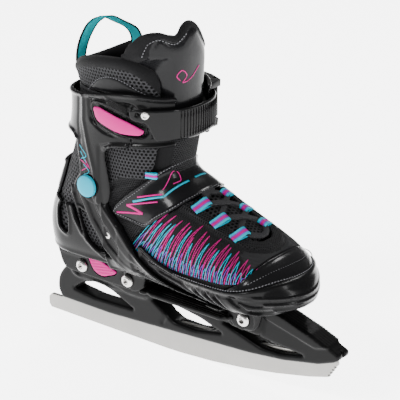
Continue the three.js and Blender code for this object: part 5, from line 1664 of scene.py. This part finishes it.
class SkateLooks(bpy.types.PropertyGroup):
    """Sizes and colours of the skate, and the strength of its lights"""

    plastic: color_setting("Shell plastic", "Colour of the shells, cuff and straps", (0.004, 0.004, 0.0042))
    holder: color_setting("Holder plastic", "Colour of the blade holder", (0.0035, 0.0035, 0.0036))
    steel: color_setting("Blade steel", "Colour of the blade", (0.2, 0.195, 0.185))
    fabric: color_setting("Fabric", "Colour of the cloth, mesh and lining", (0.006, 0.006, 0.0064))
    leatherette: color_setting("Leatherette", "Colour of the coated cloth", (0.005, 0.005, 0.0055))
    cord: color_setting("Lace", "Colour of the lace", (0.032, 0.032, 0.034))
    pink: color_setting("Pink", "Colour of the inlay, button and print", (0.36, 0.003, 0.13))
    cyan: color_setting("Cyan", "Colour of the pivot caps and print", (0.0, 0.3, 0.42))
    lilac: color_setting("Lilac", "Third colour of the print and webbing", (0.13, 0.03, 0.3))
    ribbon: color_setting("Pull loop", "Colour of the pull loop", (0.01, 0.32, 0.36))
    stitch_length: length_setting("Stitch length", "Length of one stitch", 0.0019)
    lace_width: length_setting("Lace width", "Width of the flat lace", 0.0046)
    tooth_pitch: length_setting("Ratchet pitch", "Spacing of the strap's teeth", 0.0029)
    mesh_pitch: length_setting("Mesh pitch", "Size of one cell of the spacer mesh", 0.0033)
    key_light: bpy.props.FloatProperty(name="Key light", description="Power of the main light", default=26.0,
                                       min=0, max=1000, unit="POWER")
    floor_glow: bpy.props.FloatProperty(name="Floor glow", description="Light that the white floor gives off",
                                        default=5.2, min=0, max=20)
    surround: bpy.props.FloatProperty(name="Surround", description="Brightness of the white surround",
                                      default=0.35, min=0, max=10)


def chosen(context):
    """The settings, with the finishes made from them before the first piece."""
    looks = context.scene.skate_looks
    if not LOOKS:
        make_finishes(looks)
    return looks


class SKATE_OT_blade(bpy.types.Operator):
    """Grinds and eases the steel blade"""

    bl_idname = "skate.blade"
    bl_label = "Blade"
    bl_options = {"REGISTER", "UNDO"}

    def execute(self, context):
        chosen(context)
        build_blade()
        return {"FINISHED"}


class SKATE_OT_holder(bpy.types.Operator):
    """Moulds the blade holder with its windows and ribs"""

    bl_idname = "skate.holder"
    bl_label = "Blade Holder"
    bl_options = {"REGISTER", "UNDO"}

    def execute(self, context):
        chosen(context)
        build_holder()
        return {"FINISHED"}


class SKATE_OT_rear_shell(bpy.types.Operator):
    """Moulds the heel cup, arms and lugs"""

    bl_idname = "skate.rear_shell"
    bl_label = "Rear Shell"
    bl_options = {"REGISTER", "UNDO"}

    def execute(self, context):
        chosen(context)
        build_rear_shell()
        return {"FINISHED"}


class SKATE_OT_front_shell(bpy.types.Operator):
    """Moulds the toe cup with its grooves and ridges"""

    bl_idname = "skate.front_shell"
    bl_label = "Front Shell"
    bl_options = {"REGISTER", "UNDO"}

    def execute(self, context):
        chosen(context)
        build_front_shell()
        return {"FINISHED"}


class SKATE_OT_cuff(bpy.types.Operator):
    """Moulds the hinged cuff"""

    bl_idname = "skate.cuff"
    bl_label = "Cuff"
    bl_options = {"REGISTER", "UNDO"}

    def execute(self, context):
        chosen(context)
        build_cuff()
        return {"FINISHED"}


class SKATE_OT_inlay(bpy.types.Operator):
    """Moulds the pink inlay and the size button"""

    bl_idname = "skate.inlay"
    bl_label = "Inlay and Button"
    bl_options = {"REGISTER", "UNDO"}

    def execute(self, context):
        chosen(context)
        build_inlay()
        return {"FINISHED"}


class SKATE_OT_fasteners(bpy.types.Operator):
    """Turns the bolts, nuts, rivets, pins and caps"""

    bl_idname = "skate.fasteners"
    bl_label = "Fasteners"
    bl_options = {"REGISTER", "UNDO"}

    def execute(self, context):
        chosen(context)
        build_fasteners()
        return {"FINISHED"}


class SKATE_OT_straps(bpy.types.Operator):
    """Moulds the ladder strap, its teeth and the buckle"""

    bl_idname = "skate.straps"
    bl_label = "Ankle Strap"
    bl_options = {"REGISTER", "UNDO"}

    def execute(self, context):
        build_straps(chosen(context).tooth_pitch)
        return {"FINISHED"}


class SKATE_OT_soft_boot(bpy.types.Operator):
    """Sews the liner, collar and footbed"""

    bl_idname = "skate.soft_boot"
    bl_label = "Soft Boot"
    bl_options = {"REGISTER", "UNDO"}

    def execute(self, context):
        chosen(context)
        build_soft_boot()
        return {"FINISHED"}


class SKATE_OT_tongue(bpy.types.Operator):
    """Sews the padded tongue"""

    bl_idname = "skate.tongue"
    bl_label = "Tongue"
    bl_options = {"REGISTER", "UNDO"}

    def execute(self, context):
        chosen(context)
        build_tongue()
        return {"FINISHED"}


class SKATE_OT_vamp(bpy.types.Operator):
    """Sews the forefoot and the toe cap"""

    bl_idname = "skate.vamp"
    bl_label = "Vamp"
    bl_options = {"REGISTER", "UNDO"}

    def execute(self, context):
        chosen(context)
        build_vamp()
        return {"FINISHED"}


class SKATE_OT_instep_strap(bpy.types.Operator):
    """Cuts the instep strap"""

    bl_idname = "skate.instep_strap"
    bl_label = "Instep Strap"
    bl_options = {"REGISTER", "UNDO"}

    def execute(self, context):
        chosen(context)
        build_instep_strap()
        return {"FINISHED"}


class SKATE_OT_lacing(bpy.types.Operator):
    """Makes the webbing loops, lace and pull loop"""

    bl_idname = "skate.lacing"
    bl_label = "Lacing"
    bl_options = {"REGISTER", "UNDO"}

    def execute(self, context):
        build_lacing(chosen(context).lace_width)
        return {"FINISHED"}


class SKATE_OT_print(bpy.types.Operator):
    """Lays the coloured thread lines and marks"""

    bl_idname = "skate.print"
    bl_label = "Print"
    bl_options = {"REGISTER", "UNDO"}

    def execute(self, context):
        chosen(context)
        build_print()
        return {"FINISHED"}


class SKATE_OT_stitches(bpy.types.Operator):
    """Sews the rows of stitches"""

    bl_idname = "skate.stitches"
    bl_label = "Stitches"
    bl_options = {"REGISTER", "UNDO"}

    def execute(self, context):
        build_stitches(chosen(context).stitch_length)
        return {"FINISHED"}


class SKATE_OT_stage(bpy.types.Operator):
    """Sets the floor, lights and camera"""

    bl_idname = "skate.stage"
    bl_label = "Stage"
    bl_options = {"REGISTER", "UNDO"}

    def execute(self, context):
        build_stage(chosen(context))
        return {"FINISHED"}


OPERATORS = [
    SKATE_OT_blade, SKATE_OT_holder, SKATE_OT_rear_shell, SKATE_OT_front_shell, SKATE_OT_cuff,
    SKATE_OT_inlay, SKATE_OT_fasteners, SKATE_OT_straps, SKATE_OT_soft_boot, SKATE_OT_tongue,
    SKATE_OT_vamp, SKATE_OT_instep_strap, SKATE_OT_lacing, SKATE_OT_print, SKATE_OT_stitches,
    SKATE_OT_stage,
]


class SKATE_PT_panel(bpy.types.Panel):
    """Settings and build buttons of the skate"""

    bl_label = "Adjustable Ice Skate"
    bl_idname = "SKATE_PT_panel"
    bl_space_type = "VIEW_3D"
    bl_region_type = "UI"
    bl_category = "Skate"

    def draw(self, context):
        looks = context.scene.skate_looks
        for name in SkateLooks.__annotations__:
            self.layout.prop(looks, name)
        for operator in OPERATORS:
            self.layout.operator(operator.bl_idname)


CLASSES = [SkateLooks, *OPERATORS, SKATE_PT_panel]


def register():
    """Adds the settings, operators and panel."""
    for item in CLASSES:
        bpy.utils.register_class(item)
    bpy.types.Scene.skate_looks = bpy.props.PointerProperty(type=SkateLooks)


def unregister():
    """Takes them away again."""
    del bpy.types.Scene.skate_looks
    for item in reversed(CLASSES):
        bpy.utils.unregister_class(item)


def main():
    """Builds every piece in order."""
    register()
    for operator in OPERATORS:
        getattr(bpy.ops.skate, operator.bl_idname.split(".")[1])()


if __name__ == "__main__":
    main()
